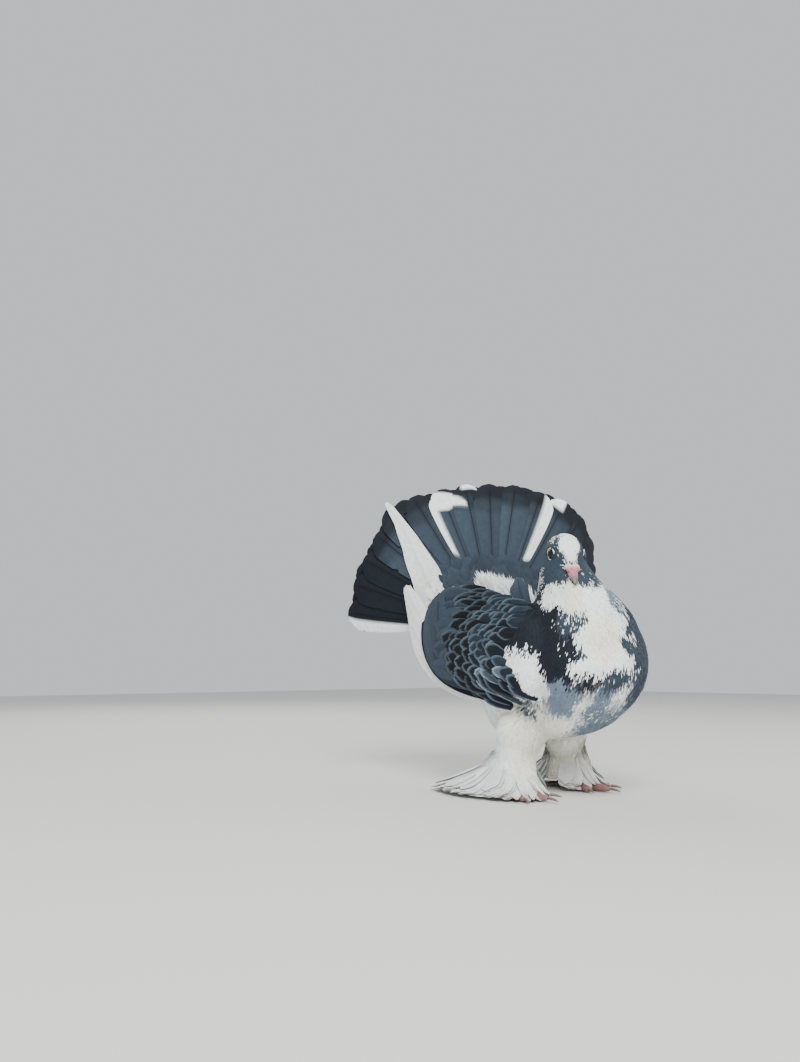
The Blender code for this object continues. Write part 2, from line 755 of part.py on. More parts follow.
# Legs and feet
def build_leg(side_name, nodes, parts, bench):
    """The feathered thigh, from the belly down to the hock."""
    top = LEG_TOP[side_name]
    hock = HOCK[side_name]
    path = [top, top.lerp(hock, 0.4) + Vector((0, -0.003, 0)), top.lerp(hock, 0.75), hock]
    leg = limb("leg_" + side_name, path, LEG_RADII, parts, 14, 12, fullness=3.0)
    clear_of(leg, [nodes["torso"], nodes["wing_" + side_name]], bench)
    nodes["leg_" + side_name] = leg


def toe_direction(side, degrees):
    angle = math.radians(degrees)
    return Vector((side * math.sin(angle), -math.cos(angle), 0.0))


def build_foot(side_name, nodes, parts, bench):
    side = -1 if side_name == "right" else 1
    foot = FEET[side_name]
    heel = foot + Vector((0, 0, 0.0062))
    pieces = [limb("foot_" + side_name, [foot + Vector((0, 0.002, 0.012)), foot + Vector((0, 0, 0.0045))],
                   (0.0048, 0.0052), bench, 10, 6)]
    tips = []
    for degrees, length in zip(TOE_ANGLES, TOE_LENGTHS):
        direction = toe_direction(side, degrees)
        level = foot + UP * TOE_HEIGHT
        path = [heel, level + direction * length * 0.4, level + direction * length * 0.75,
                level + direction * length]
        radii = (TOE_RADIUS * 1.1, TOE_RADIUS, TOE_RADIUS * 0.9, TOE_RADIUS * 0.72)
        pieces.append(limb("toe", path, radii, bench, 7, 7, fullness=3.0))
        tips.append((level + direction * length, direction))
    made = join("foot_" + side_name, pieces, parts)
    keep_side(made, Vector((0, 0, 0)), UP, bench)
    nodes["foot_" + side_name] = made
    for number, (tip, direction) in enumerate(tips, start=1):
        name = f"claw_{side_name}_{number}"
        path = [tip - direction * 0.003, tip + direction * 0.003 + UP * 0.0003,
                tip + direction * CLAW_LENGTH * 0.7 - UP * 0.0004, tip + direction * CLAW_LENGTH - UP * 0.0016]
        claw = limb(name, path, (CLAW_RADIUS, CLAW_RADIUS, CLAW_RADIUS * 0.7, 0.0003), parts, 6, 6)
        clear_of(claw, [made], bench)
        nodes[name] = claw


def muff_reach(side_name, degrees):
    """How far the foot feathers reach in a direction, by straight runs between the profile's points."""
    profile = MUFF_REACH[side_name]
    for (first, reach), (second, further) in zip(profile[:-1], profile[1:]):
        if degrees <= second:
            break
    return reach + (further - reach) * (degrees - first) / (second - first)


def muff_core(side_name, shank, bench):
    """The wedge of down that the foot feathers lie on."""
    side = -1 if side_name == "right" else 1
    middle = (MUFF_ANGLES[0] + MUFF_ANGLES[1]) / 2

    def shape(unit):
        ring = math.hypot(unit.x, unit.y)
        if ring < 1e-6:
            return shank + UP * (MUFF_TOP if unit.z > 0 else MUFF_BOTTOM)
        degrees = math.degrees(math.atan2(unit.x * side, -unit.y)) % 360
        if degrees > middle + 180:
            degrees -= 360
        beyond = max(MUFF_ANGLES[0] - degrees, degrees - MUFF_ANGLES[1], 0.0)
        within = min(max(degrees, MUFF_ANGLES[0]), MUFF_ANGLES[1])
        inside = MUFF_CORE_SHARE * muff_reach(side_name, within)
        out = MUFF_CORE_RADIUS + (inside - MUFF_CORE_RADIUS) * math.exp(-(beyond / MUFF_CORE_FADE) ** 2)
        high = max(unit.z, 0.0)
        low = max(-unit.z, 0.0)
        slope = MUFF_CORE_RADIUS + (out - MUFF_CORE_RADIUS) * (1 - high) ** 1.1
        distance = slope * min(1.0, ring * 2.0) * (1 - 0.35 * low)
        edge = MUFF_BOTTOM + 0.0035
        height = edge + (MUFF_TOP - edge) * high - (edge - MUFF_BOTTOM) * min(low * 2, 1.0)
        return shank + toe_direction(side, degrees) * distance + UP * height

    return shaped_ball("core", 20, 10, shape, bench)


def muff_line(base, direction, length, drop, twist):
    """A foot feather's centre line: out along its direction, and down to near the floor."""
    across = direction.cross(UP).normalized()
    turned = across * math.cos(twist) + UP * math.sin(twist)
    face = UP * math.cos(twist) - across * math.sin(twist)

    def line(distance):
        share = min(distance / length, 1.0)
        return base + direction * distance - UP * (drop * share ** 1.2), turned, face

    return line


def build_muff(side_name, nodes, parts, bench):
    """The long feathers of a foot, in tiers, spread outwards and backwards over the floor."""
    side = -1 if side_name == "right" else 1
    shank = Vector((HOCK[side_name].x, HOCK[side_name].y, 0.0))
    pieces = [muff_core(side_name, shank, bench)]
    for start, height, count, share, rest in MUFF_TIERS:
        for index in range(count):
            part = (index + 0.25) / (count - 0.5)
            degrees = between(MUFF_ANGLES, min(part, 1.0))
            direction = toe_direction(side, degrees)
            length = muff_reach(side_name, degrees) * share * random.uniform(0.94, 1.0) - start
            base = shank + direction * start + UP * (height + MUFF_STAGGER * (index % 2))
            line = muff_line(base, direction, length, height - rest, math.radians(4) * side)
            pieces.append(vane(line, length, MUFF_HALF_WIDTH, bench, steps=2, tip_share=0.4,
                               widest=0.6, root_share=0.6, rounding=0.10))
    muff = join("muff_" + side_name, pieces, parts)
    keep_side(muff, Vector((0, 0, GAP)), UP, bench)
    claws = [node for name, node in nodes.items() if name.startswith("claw_" + side_name)]
    clear_of(muff, [nodes["leg_" + side_name], nodes["foot_" + side_name]] + claws, bench)
    nodes["muff_" + side_name] = muff


# Finish
def give_material(target, colour, roughness):
    material = bpy.data.materials.new(target.name)
    material.use_nodes = True
    shader = material.node_tree.nodes["Principled BSDF"]
    shader.inputs["Base Color"].default_value = colour
    shader.inputs["Roughness"].default_value = roughness
    shader.inputs["Metallic"].default_value = 0.0
    target.data.materials.clear()
    target.data.materials.append(material)


def finish_of(name):
    if name.startswith("eye"):
        return EYE, 0.08
    if name.startswith("claw"):
        return HORN, 0.45
    if name.startswith(("foot", "bill")):
        return PINK, 0.5
    if name.startswith(("leg", "muff", "undertail")):
        return WHITE, 0.8
    if name.startswith(("torso", "neck", "head")):
        return GREY, 0.8
    return SLATE, 0.6


def centre_on_floor(made):
    """Moves every node so that the middle of the whole footprint stands on the origin."""
    points = [vert.co for node in made for vert in node.data.vertices]
    across = (min(point.x for point in points) + max(point.x for point in points)) / 2
    along = (min(point.y for point in points) + max(point.y for point in points)) / 2
    floor = min(point.z for point in points)
    shift = Vector((-across, -along, -floor))
    for node in made:
        node.data.transform(Matrix.Translation(shift))
    print("shift", tuple(round(value, 6) for value in shift))


def main():
    random.seed(RANDOM_SEED)
    clear_scene()
    parts = new_collection(OBJECT_NAME)
    bench = new_collection("bench", hidden=True)
    nodes = build_body(parts, bench)
    build_bill(nodes, parts, bench)
    build_fan(nodes, parts, bench)
    build_coverts("tail_coverts", COVERT_ROWS, COVERT_PLATE_LAYER, nodes, parts, bench)
    build_coverts("undertail", UNDERTAIL_ROWS, UNDERTAIL_PLATE_LAYER, nodes, parts, bench)
    for side_name in ("right", "left"):
        build_wing(side_name, nodes, parts, bench)
        build_leg(side_name, nodes, parts, bench)
        build_foot(side_name, nodes, parts, bench)
        build_muff(side_name, nodes, parts, bench)
    for name, node in nodes.items():
        if name.startswith(("tail", "undertail", "wing", "muff", "foot", "bill_upper")):
            fewer_triangles(node)
    centre_on_floor(nodes.values())
    for name, node in nodes.items():
        node.name = name
        give_material(node, *finish_of(name))
        print(name, len(node.data.polygons))
    print("triangles", sum(len(node.data.polygons) for node in nodes.values()))


if __name__ == "__main__":
    main()
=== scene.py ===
import math

import bpy
import numpy as np
from mathutils import Matrix, Vector
from mathutils.bvhtree import BVHTree


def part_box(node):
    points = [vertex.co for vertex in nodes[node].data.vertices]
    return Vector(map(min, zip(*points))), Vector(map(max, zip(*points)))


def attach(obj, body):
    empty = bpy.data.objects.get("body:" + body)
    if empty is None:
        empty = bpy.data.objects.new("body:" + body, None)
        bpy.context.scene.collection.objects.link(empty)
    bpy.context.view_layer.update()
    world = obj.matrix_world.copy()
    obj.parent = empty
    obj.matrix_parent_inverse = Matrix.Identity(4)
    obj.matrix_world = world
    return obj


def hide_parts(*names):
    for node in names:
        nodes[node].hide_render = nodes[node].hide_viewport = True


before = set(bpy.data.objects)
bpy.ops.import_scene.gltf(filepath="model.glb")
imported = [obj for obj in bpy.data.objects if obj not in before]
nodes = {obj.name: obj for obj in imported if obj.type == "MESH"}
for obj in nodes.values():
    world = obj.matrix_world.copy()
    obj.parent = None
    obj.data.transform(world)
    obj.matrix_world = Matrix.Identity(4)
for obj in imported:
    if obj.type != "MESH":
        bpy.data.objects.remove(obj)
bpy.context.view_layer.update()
print("frame loaded,", len(nodes), "nodes")

# A fantail pigeon with feathered feet. Metres, +Z up, the bird faces -Y and its left side is +X.
# Places are given in the bird's own frame, and moved by birdShift into the row frame.
headCentre = np.array((-0.018, -0.047, 0.1955))
headAxes = np.array(Matrix.Rotation(math.radians(-37), 3, "Z") @ Matrix.Rotation(math.radians(20), 3, "X"))
eyePlace = (0.0109, -0.0070, 0.0025)
sides = {"right": -1, "left": 1}
flesh = ("torso", "neck", "head", "leg_right", "leg_left")


def unit(vectors):
    return vectors / np.maximum(np.linalg.norm(vectors, axis=-1, keepdims=True), 1e-12)


def flattened(vectors, normals):
    # the part of each vector that lies square to its normal, at length 1
    return unit(vectors - normals * (vectors * normals).sum(-1, keepdims=True))


def onHead(x, y, z):
    return headCentre + headAxes @ np.array((x, y, z))


def eyeCentre(side):
    return onHead(side * eyePlace[0], eyePlace[1], eyePlace[2])


def eyeAxis(side):
    return unit(headAxes @ np.array((side, -0.36, 0.04)))


birdShift = sum(map(np.array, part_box("eye_right"))) / 2 - eyeCentre(sides["right"])


def paint(red, green, blue):
    # an 8-bit display colour as linear light
    shares = np.array((red, green, blue)) / 255
    return np.where(shares < 0.04045, shares / 12.92, ((shares + 0.055) / 1.055) ** 2.4)


colours = {
    "slate": paint(50, 62, 73),
    "slateDark": paint(22, 29, 37),
    "slatePale": paint(112, 129, 144),
    "black": paint(9, 12, 17),
    "lacing": paint(88, 104, 117),
    "violet": paint(25, 30, 39),
    "white": paint(238, 241, 240),
    "cream": paint(234, 233, 218),
    "soiled": paint(170, 150, 124),
    "pupil": paint(2, 2, 3),
    "iris": paint(13, 9, 9),
    "irisRim": paint(8, 6, 7),
    "lid": paint(222, 222, 218),
    "cere": paint(216, 190, 198),
    "billRoot": paint(184, 116, 126),
    "billTip": paint(104, 99, 94),
    "toe": paint(146, 112, 108),
    "claw": paint(118, 100, 92),
}

# Camera at the photo's place and angle; the photo is 800 x 1062
photo = {
    "width": 800,
    "height": 1062,
    "focal": 799.0,
    "place": (-0.5556, -0.4416, 0.1020),
    "azimuth": 42.0,
    "pitch": 9.9,
    "sensor": 36.0,
}
pitch = math.radians(photo["pitch"])
heading = math.radians(photo["azimuth"])
levelAhead = np.array((math.sin(heading), math.cos(heading), 0.0))
viewRight = np.array((math.cos(heading), -math.sin(heading), 0.0))
viewAhead = levelAhead * math.cos(pitch) + np.array((0, 0, 1)) * math.sin(pitch)
viewUp = np.cross(viewRight, viewAhead)
cameraPlace = np.array(photo["place"]) + birdShift


def newObject(name, data):
    made = bpy.data.objects.new(name, data)
    bpy.context.scene.collection.objects.link(made)
    return made


def makeActive(*chosen):
    bpy.ops.object.select_all(action="DESELECT")
    for obj in chosen:
        obj.select_set(True)
    bpy.context.view_layer.objects.active = chosen[0]


def copyNode(name):
    # a merged copy of a solid, free of its parent
    copy = newObject(name + "Copy", nodes[name].data.copy())
    makeActive(copy)
    bpy.ops.object.mode_set(mode="EDIT")
    bpy.ops.mesh.select_all(action="SELECT")
    bpy.ops.mesh.remove_doubles(threshold=0.00002)
    bpy.ops.mesh.normals_make_consistent(inside=False)
    bpy.ops.object.mode_set(mode="OBJECT")
    return copy


def joinAll(pieces, name):
    makeActive(*pieces)
    if len(pieces) > 1:
        bpy.ops.object.join()
    joined = bpy.context.view_layer.objects.active
    joined.name = name
    joined.data.name = name
    return joined


def applyAll(obj):
    makeActive(obj)
    for modifier in list(obj.modifiers):
        bpy.ops.object.modifier_apply(modifier=modifier.name)


def remeshed(obj, voxel, smoothing):
    even = obj.modifiers.new("even", "REMESH")
    even.mode = "VOXEL"
    even.voxel_size = voxel
    soft = obj.modifiers.new("soft", "SMOOTH")
    soft.factor = 0.5
    soft.iterations = smoothing
    applyAll(obj)
    return obj


def finishPiece(obj, material, replaced=()):
    obj.data.materials.clear()
    obj.data.materials.append(material)
    obj.data.shade_smooth()
    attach(obj, "root")
    if replaced:
        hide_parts(*replaced)
    print("made", obj.name, len(obj.data.polygons), "faces")
    return obj


def readAll(group, kind, width, form=np.float32):
    flat = np.empty(len(group) * width, form)
    group.foreach_get(kind, flat)
    return flat.reshape(-1, width)


def pointsOf(mesh):
    return readAll(mesh.vertices, "co", 3).astype(float)


def normalsOf(mesh):
    return readAll(mesh.vertices, "normal", 3).astype(float)


def setPoints(mesh, points):
    mesh.vertices.foreach_set("co", points.astype(np.float32).ravel())
    mesh.update()


def paintPoints(mesh, tints):
    for attribute in list(mesh.color_attributes):
        mesh.color_attributes.remove(attribute)
    layer = mesh.color_attributes.new("coatColour", "FLOAT_COLOR", "POINT")
    full = np.ones((len(mesh.vertices), 4), np.float32)
    full[:, :3] = np.clip(tints, 0, 1)
    layer.data.foreach_set("color", full.ravel())


def treeOf(*meshes):
    # one search tree over several meshes
    points = []
    faces = []
    for mesh in meshes:
        mesh.calc_loop_triangles()
        faces += (readAll(mesh.loop_triangles, "vertices", 3, np.int32) + len(points)).tolist()
        points += pointsOf(mesh).tolist()
    return BVHTree.FromPolygons(points, faces)


wingTree = treeOf(nodes["wing_right"].data, nodes["wing_left"].data)
shownTree = treeOf(*(nodes[name].data for name in (*flesh, "wing_right", "wing_left")))
billTree = treeOf(nodes["bill_upper"].data, nodes["bill_lower"].data)


def nearHead(points):
    # 1 on the head, falling to 0 down the neck
    away = np.linalg.norm(points - (headCentre + birdShift), axis=1)
    return np.clip((0.034 - away) / 0.012, 0, 1)


def smoothNoise(points, wave, seed):
    # three smooth fields in -1..1, made of a few sine waves
    source = np.random.default_rng(seed)
    field = np.zeros((len(points), 3))
    for _ in range(7):
        turn = unit(source.normal(size=(3, 3)))
        reach = 2 * math.pi / (wave * source.uniform(0.55, 1.6))
        field += np.sin(points @ turn.T * reach + source.uniform(0, 6.28, 3))
    return field / 3.2


# Markings by colour: named places of the photo, cast onto the body, each with its reach in mm
markings = {
    "cream": {
        "bibTop": (573, 594, 7), "bibCore": (600, 612, 7), "bibMiddle": (604, 632, 7),
        "breastRight": (630, 716, 3), "thigh": (530, 716, 9), "thighFront": (546, 717, 6),
        "belly": (550, 732, 9), "bellyRight": (590, 735, 7),
    },
    "white": {
        "bibTopLeft": (554, 591, 3), "bibTopRight": (592, 591, 6), "bibCoreRight": (615, 609, 3),
        "bibMiddleLeft": (583, 630, 4), "bibLow": (596, 654, 7), "bibLowRight": (621, 652, 5),
        "bibLowLeft": (583, 654, 3), "chest": (588, 692, 5), "chestRight": (625, 684, 4),
        "chestLow": (574, 714, 5),
        "shoulder": (530, 658, 7), "shoulderLow": (536, 678, 7), "shoulderFront": (541, 668, 5),
        "shoulderTop": (519, 647, 4), "shoulderRear": (506, 657, 4), "thighRear": (505, 712, 6),
        "legRight": (515, 755, 14), "legLeft": (575, 755, 14),
    },
    "slatePale": {
        "bibTopFar": (607, 590, 3), "column": (562, 686, 9), "columnLow": (568, 704, 5),
        "columnTop": (549, 671, 4),
        "chest": (606, 690, 3), "low": (606, 708, 6), "lowRight": (628, 703, 5), "lowest": (596, 725, 4),
        "flank": (480, 700, 8),
    },
    "slate": {
        "bibFarEdge": (618, 597, 4), "notchUpper": (570, 611, 6), "notchUpperTip": (584, 613, 1),
        "notchLower": (583, 641, 1), "notchRight": (619, 629, 2), "bandRight": (620, 672, 5),
        "sideStrip": (641, 640, 6), "sideStripUpper": (631, 614, 5), "sideStripLow": (640, 680, 4),
        "mottleUpper": (507, 672, 4), "mottleLow": (530, 700, 3),
    },
    "slateDark": {
        "neckSideRear": (527, 618, 7), "neckUpper": (538, 594, 5), "band": (590, 672, 6),
        "wingFront": (520, 628, 7), "mottle": (514, 688, 5), "mottleRear": (500, 690, 5),
    },
    "violet": {"neckSide": (545, 614, 9), "neckSideLow": (557, 640, 9), "bandLeft": (562, 662, 7)},
}
# Places that the photo doesn't show: colour, place in the bird's frame and reach, in mm
hiddenMarkings = {
    "nape": ("slate", -2, -22, 185, 6),
    "neckBack": ("slateDark", 0, -8, 165, 12),
    "neckLeft": ("slateDark", 32, -45, 155, 14),
    "neckLeftLow": ("slate", 40, -60, 130, 12),
    "breastLeft": ("slate", 42, -75, 105, 12),
    "whiteLeft": ("white", 48, -45, 98, 10),
    "chestLeft": ("white", 28, -88, 78, 9),
    "bellyLeft": ("cream", 20, -40, 52, 16),
    "flankLeft": ("slatePale", 48, 10, 85, 10),
    "thighLeft": ("cream", 36, -10, 62, 14),
    "back": ("slate", 0, 20, 160, 14),
    "rump": ("white", 0, 45, 165, 10),
    "vent": ("white", 0, 60, 100, 20),
    "underRear": ("cream", 0, 30, 60, 16),
}
# The same in the head's frame, single ones and then those of both sides
headMarkings = {
    "blaze": ("white", 0, -18, 6, 3.6),
    "blazeLow": ("white", 0, -20.5, 1, 2.4),
    "forehead": ("white", 1, -13, 14, 4.6),
    "crown": ("white", 4, -2, 19, 5.6),
    "crownFleckOne": ("slate", -7, 1, 18, 1.6),
    "crownFleckTwo": ("slatePale", -4, -8, 18, 0.9),
    "crownRear": ("slatePale", 0, 12, 15, 4.0),
    "fleckUnderEye": ("slatePale", -15, -1, -8, 1.0),
    "chin": ("cream", 0, -12, -17, 3.0),
}
headPairs = {
    "cheek": ("slate", 16, -4, -6, 9.5),
    "cheekLow": ("slate", 9, -11, -10, 4.5),
    "lore": ("slate", 9.5, -15.5, -3, 5.4),
    "brow": ("slate", 13.5, -5, 10, 5.0),
    "nape": ("slate", 14, 12, 0, 6.0),
    "jaw": ("white", 12, -6, -19, 2.0),
}
edgeNoise = {"wide": 0.016, "amount": 0.0042, "fine": 0.005, "fineAmount": 0.0018, "calmHead": 0.75}


def castFromPhoto(across, down):
    # where a place of the photo falls on the bird
    direction = viewAhead * photo["focal"] + viewRight * (across - photo["width"] / 2)
    direction = direction + viewUp * (photo["height"] / 2 - down)
    place = shownTree.ray_cast(Vector(cameraPlace), Vector(direction).normalized())[0]
    return None if place is None else np.array(place)


def gatherMarks():
    found = []
    for colour, places in markings.items():
        for across, down, reach in places.values():
            found.append((colour, castFromPhoto(across, down), reach))
    for colour, x, y, z, reach in hiddenMarkings.values():
        found.append((colour, np.array((x, y, z)) / 1000 + birdShift, reach))
    for group, mirror in ((headMarkings, (1,)), (headPairs, (-1, 1))):
        for colour, x, y, z, reach in group.values():
            for side in mirror:
                found.append((colour, onHead(side * x / 1000, y / 1000, z / 1000) + birdShift, reach))
    return [mark for mark in found if mark[1] is not None]


marks = gatherMarks()
markColours = np.array([colours[mark[0]] for mark in marks])
print("markings placed:", len(marks))


def markAt(points, seed=3, jitter=0.0, lie=None, streak=0.0):
    # the coat's colour at each point: the nearest mark, with borders drawn out along the lie
    source = np.random.default_rng(seed)
    calm = (1 - edgeNoise["calmHead"] * nearHead(points))[:, None]
    moved = points + smoothNoise(points, edgeNoise["wide"], 21) * edgeNoise["amount"] * calm
    moved += smoothNoise(points, edgeNoise["fine"], 22) * edgeNoise["fineAmount"] * calm
    moved += source.normal(size=points.shape) * jitter
    if lie is not None:
        moved += lie * source.normal(size=(len(points), 1)) * streak
    best = np.full(len(points), 9.0)
    chosen = np.zeros(len(points), int)
    for index, (_, place, reach) in enumerate(marks):
        away = np.linalg.norm(moved - place, axis=1) - reach / 1000
        nearer = away < best
        best[nearer] = away[nearer]
        chosen[nearer] = index
    shade = smoothNoise(points, 0.03, 23)[:, :1] * 0.10
    return markColours[chosen] * (1 + shade)


# Finishes
barbs = {"spacing": 0.75, "slope": 1.1, "light": 0.05}
socketNames = {"roughness": "Roughness", "specular": "Specular IOR Level", "sheen": "Sheen Weight",
               "coat": "Coat Weight"}


def addNode(tree, kind, inputs, **settings):
    # a shader node, with a number or another node's output on each socket
    node = tree.nodes.new("ShaderNode" + kind)
    for name, value in settings.items():
        setattr(node, name, value)
    for socket, value in inputs.items():
        if isinstance(value, (int, float)):
            node.inputs[socket].default_value = value
        else:
            tree.links.new(value, node.inputs[socket])
    return node


def makeFinish(name, scale, dark, light, bump, depth, isVane=False, **sockets):
    # the painted colour, mottled by a fine noise that roughens it too; a vane has barbs instead
    material = bpy.data.materials.new(name)
    material.use_nodes = True
    tree = material.node_tree
    shader = tree.nodes["Principled BSDF"]

    def calculate(operation, *values):
        return addNode(tree, "Math", dict(enumerate(values)), operation=operation).outputs[0]

    def scaled(colour, share):
        return addNode(tree, "VectorMath", {0: colour, "Scale": share}, operation="SCALE").outputs[0]

    place = addNode(tree, "TexCoord", {}).outputs["Object"]
    height = addNode(tree, "TexNoise", {"Vector": place, "Scale": scale, "Detail": 4.0}).outputs["Fac"]
    shade = addNode(tree, "MapRange", {"Value": height, "From Min": 0.3, "From Max": 0.7, "To Min": dark,
                                       "To Max": light}).outputs["Result"]
    colour = scaled(addNode(tree, "Attribute", {}, attribute_name="coatColour").outputs["Color"], shade)
    if isVane:
        # barbs run out and forwards from the shaft, drawn in millimetres on the vane's own map
        vane = addNode(tree, "UVMap", {}, uv_map="Vane").outputs["UV"]
        split = addNode(tree, "SeparateXYZ", {"Vector": vane}).outputs
        lead = calculate("MULTIPLY", calculate("ABSOLUTE", split["X"]), barbs["slope"])
        along = calculate("SUBTRACT", split["Y"], lead)
        height = calculate("SINE", calculate("MULTIPLY", along, 2 * math.pi / barbs["spacing"]))
        # painted light and shade: the colour is lighter on each barb's ridge and darker between them, in step
        # with the bump
        colour = scaled(colour, calculate("MULTIPLY_ADD", height, barbs["light"], 1.0))
    relief = addNode(tree, "Bump", {"Strength": bump, "Distance": depth, "Height": height})
    tree.links.new(colour, shader.inputs["Base Color"])
    tree.links.new(relief.outputs["Normal"], shader.inputs["Normal"])
    for key, value in sockets.items():
        shader.inputs[socketNames[key]].default_value = value
    return material


def bareFinish(name, roughness, scale, bump, coat=0.0):
    return makeFinish(name, scale, 0.86, 1.10, bump, 0.0003, roughness=roughness, specular=0.3, coat=coat)


flightFinish = makeFinish("flight feather vane", 260.0, 0.88, 1.08, 0.35, 0.00012, True,
                          roughness=0.58, specular=0.14, sheen=0.05)
whiteFinish = makeFinish("white feather vane", 260.0, 0.88, 1.08, 0.35, 0.00012, True,
                         roughness=0.66, specular=0.14, sheen=0.2)
coatFinish = makeFinish("small body feathers", 420.0, 0.90, 1.08, 0.3, 0.0004,
                        roughness=0.72, specular=0.18, sheen=0.05)


# Meshes from arrays
def buildMesh(name, points, triangles, tints, patchUv, vaneUv, cornerNormals, material, slotName,
              replaced=()):
    mesh = bpy.data.meshes.new(name)
    count = len(triangles)
    mesh.vertices.add(len(points))
    mesh.vertices.foreach_set("co", points.astype(np.float32).ravel())
    mesh.loops.add(count * 3)
    mesh.loops.foreach_set("vertex_index", triangles.astype(np.int32).ravel())
    mesh.polygons.add(count)
    mesh.polygons.foreach_set("loop_start", np.arange(0, count * 3, 3, dtype=np.int32))
    mesh.polygons.foreach_set("loop_total", np.full(count, 3, np.int32))
    for layerName, values in (("OFBake", patchUv), ("Vane", vaneUv)):
        layer = mesh.uv_layers.new(name=layerName)
        layer.data.foreach_set("uv", values[triangles.ravel()].astype(np.float32).ravel())
    paintPoints(mesh, tints)
    mesh.update(calc_edges=True)
    made = finishPiece(newObject(name, mesh), material, replaced)
    mesh.normals_split_custom_set(cornerNormals.tolist())
    return made


def gridFaces(grid):
    a, b, c, d = (part.ravel() for part in (grid[:-1, :-1], grid[:-1, 1:], grid[1:, 1:], grid[1:, :-1]))
    return np.concatenate([np.stack([a, b, c], 1), np.stack([a, c, d], 1)])


def outwards(points, faces):
    # the faces of a closed shape, turned to point out of it
    corners = points[faces] - points.mean(0)
    volume = np.einsum("ij,ij->i", corners[:, 0], np.cross(corners[:, 1], corners[:, 2])).sum()
    return faces[:, ::-1] if volume < 0 else faces


# A lens is a thin shape of two grids that share their border.
# Its points are all of the front's, then the back's inner ones.
def withBack(front, back=None):
    back = front[1:-1, 1:-1] if back is None else back
    return np.concatenate([front.reshape(-1, front.shape[-1]), back.reshape(-1, front.shape[-1])])


def lensFaces(rows, across):
    top = np.arange(rows * across).reshape(rows, across)
    bottom = top.copy()
    inner = (rows - 2, across - 2)
    bottom[1:-1, 1:-1] = rows * across + np.arange(inner[0] * inner[1]).reshape(inner)
    return np.concatenate([gridFaces(top), gridFaces(bottom)[:, ::-1]])


def lensNormals(grid, faces, handed):
    # the smooth direction of a grid of points, turned round for the faces of its back
    normal = unit(np.cross(np.gradient(grid, axis=1), np.gradient(grid, axis=0))) * handed
    corners = withBack(normal)[faces]
    corners[len(faces) // 2:] *= -1
    return corners.reshape(-1, 3)


def plateSolid(grid, inward):
    # a closed slab: a grid of points and the same grid moved inward, joined at its border
    points = withBack(grid, (grid + inward)[1:-1, 1:-1])
    return points, outwards(points, lensFaces(*grid.shape[:2]))


def tubeSolid(rings):
    # rings of points with closed ends, from the bottom up
    rows, across = rings.shape[:2]
    index = np.arange(rows * across).reshape(rows, across)
    index = np.concatenate([index, index[:, :1]], 1)
    foot = np.full(across, rows * across)
    ends = [np.stack([index[0, 1:], index[0, :-1], foot], 1),
            np.stack([index[-1, :-1], index[-1, 1:], foot + 1], 1)]
    points = np.concatenate([rings.reshape(-1, 3), rings[0].mean(0)[None], rings[-1].mean(0)[None]])
    return points, outwards(points, np.concatenate([gridFaces(index), *ends]))


# Large feathers: lenses with rows along the shaft and these columns across it.
# A bundle lists them, each with its points, faces, tints, vane map, bake cell and corner normals.
columns = np.array((-1.0, -0.93, -0.72, -0.48, -0.24, -0.055, 0.0, 0.055, 0.24, 0.48, 0.72, 0.93, 1.0))
shaftRidge = {"height": 0.0003, "width": 0.06}


def rowShares(rows):
    # places along a shaft, closer together towards the tip
    return 1 - (1 - np.linspace(0, 1, rows)) ** 1.5


def addFeather(bundle, line, halfWidth, tint, source, thickness=0.0005, cup=0.10, lead=0.35, roundTip=0.55,
               splits=2, fray=0.0006):
    # the line gives, row by row, the shaft's place, the direction across the vane and the one it faces
    centre, side, face = line
    rows = len(centre)
    share = rowShares(rows)[:, None]
    ahead = unit(np.gradient(centre, axis=0))
    length = np.linalg.norm(np.diff(centre, axis=0), axis=1).sum()
    width = np.repeat(halfWidth[:, None], len(columns), 1)
    for _ in range(splits):
        row = int(source.integers(int(rows * 0.45), rows - 2))
        edge = columns > 0.6 if source.random() < 0.5 else columns < -0.6
        width[row, edge] *= source.uniform(0.84, 0.94)
    reach = columns * width
    far = np.abs(columns)[None, :]
    along = lead * far * width * (1 - share**3)
    along = along - roundTip * far**2.4 * width * share**6
    along = along + source.normal(size=width.shape) * fray * (share > 0.98) * (far > 0.1)
    bow = shaftRidge["height"] * np.exp(-((far / shaftRidge["width"]) ** 2)) * (1 - share)
    bow = bow - cup * far**2 * width
    top = centre[:, None] + side[:, None] * reach[..., None]
    top = top + ahead[:, None] * along[..., None] + face[:, None] * bow[..., None]
    deep = thickness * (1 - 0.4 * share[1:-1]) * (1 - far[:, 1:-1] ** 6)
    points = withBack(top, top[1:-1, 1:-1] - face[1:-1, None] * deep[..., None])
    middle = rows // 2
    handed = np.sign(np.cross(side[middle], ahead[middle]) @ face[middle])
    faces = lensFaces(rows, len(columns))
    if handed < 0:
        faces = faces[:, ::-1]
    tints = np.broadcast_to(tint(share, columns[None, :]), (rows, len(columns), 3))
    vane = np.stack([reach * 1000, (share * length + along) * 1000], -1)
    cell = np.stack(np.broadcast_arrays((columns + 1) / 2, share), -1)
    normals = lensNormals(top, faces, handed)
    bundle.append((points, faces, withBack(tints), withBack(vane), withBack(cell), normals))


def addPlate(bundle, grid, inward, colour):
    points, faces = plateSolid(grid, inward)
    rows, across = grid.shape[:2]
    guess = np.cross(np.gradient(grid, axis=1), np.gradient(grid, axis=0))[rows // 2, across // 2]
    cell = withBack(np.stack(np.meshgrid(np.linspace(0, 1, across), np.linspace(0, 1, rows)), -1))
    normals = lensNormals(grid, faces, np.sign(guess @ -inward))
    bundle.append((points, faces, np.broadcast_to(colour, points.shape), cell * 40, cell, normals))


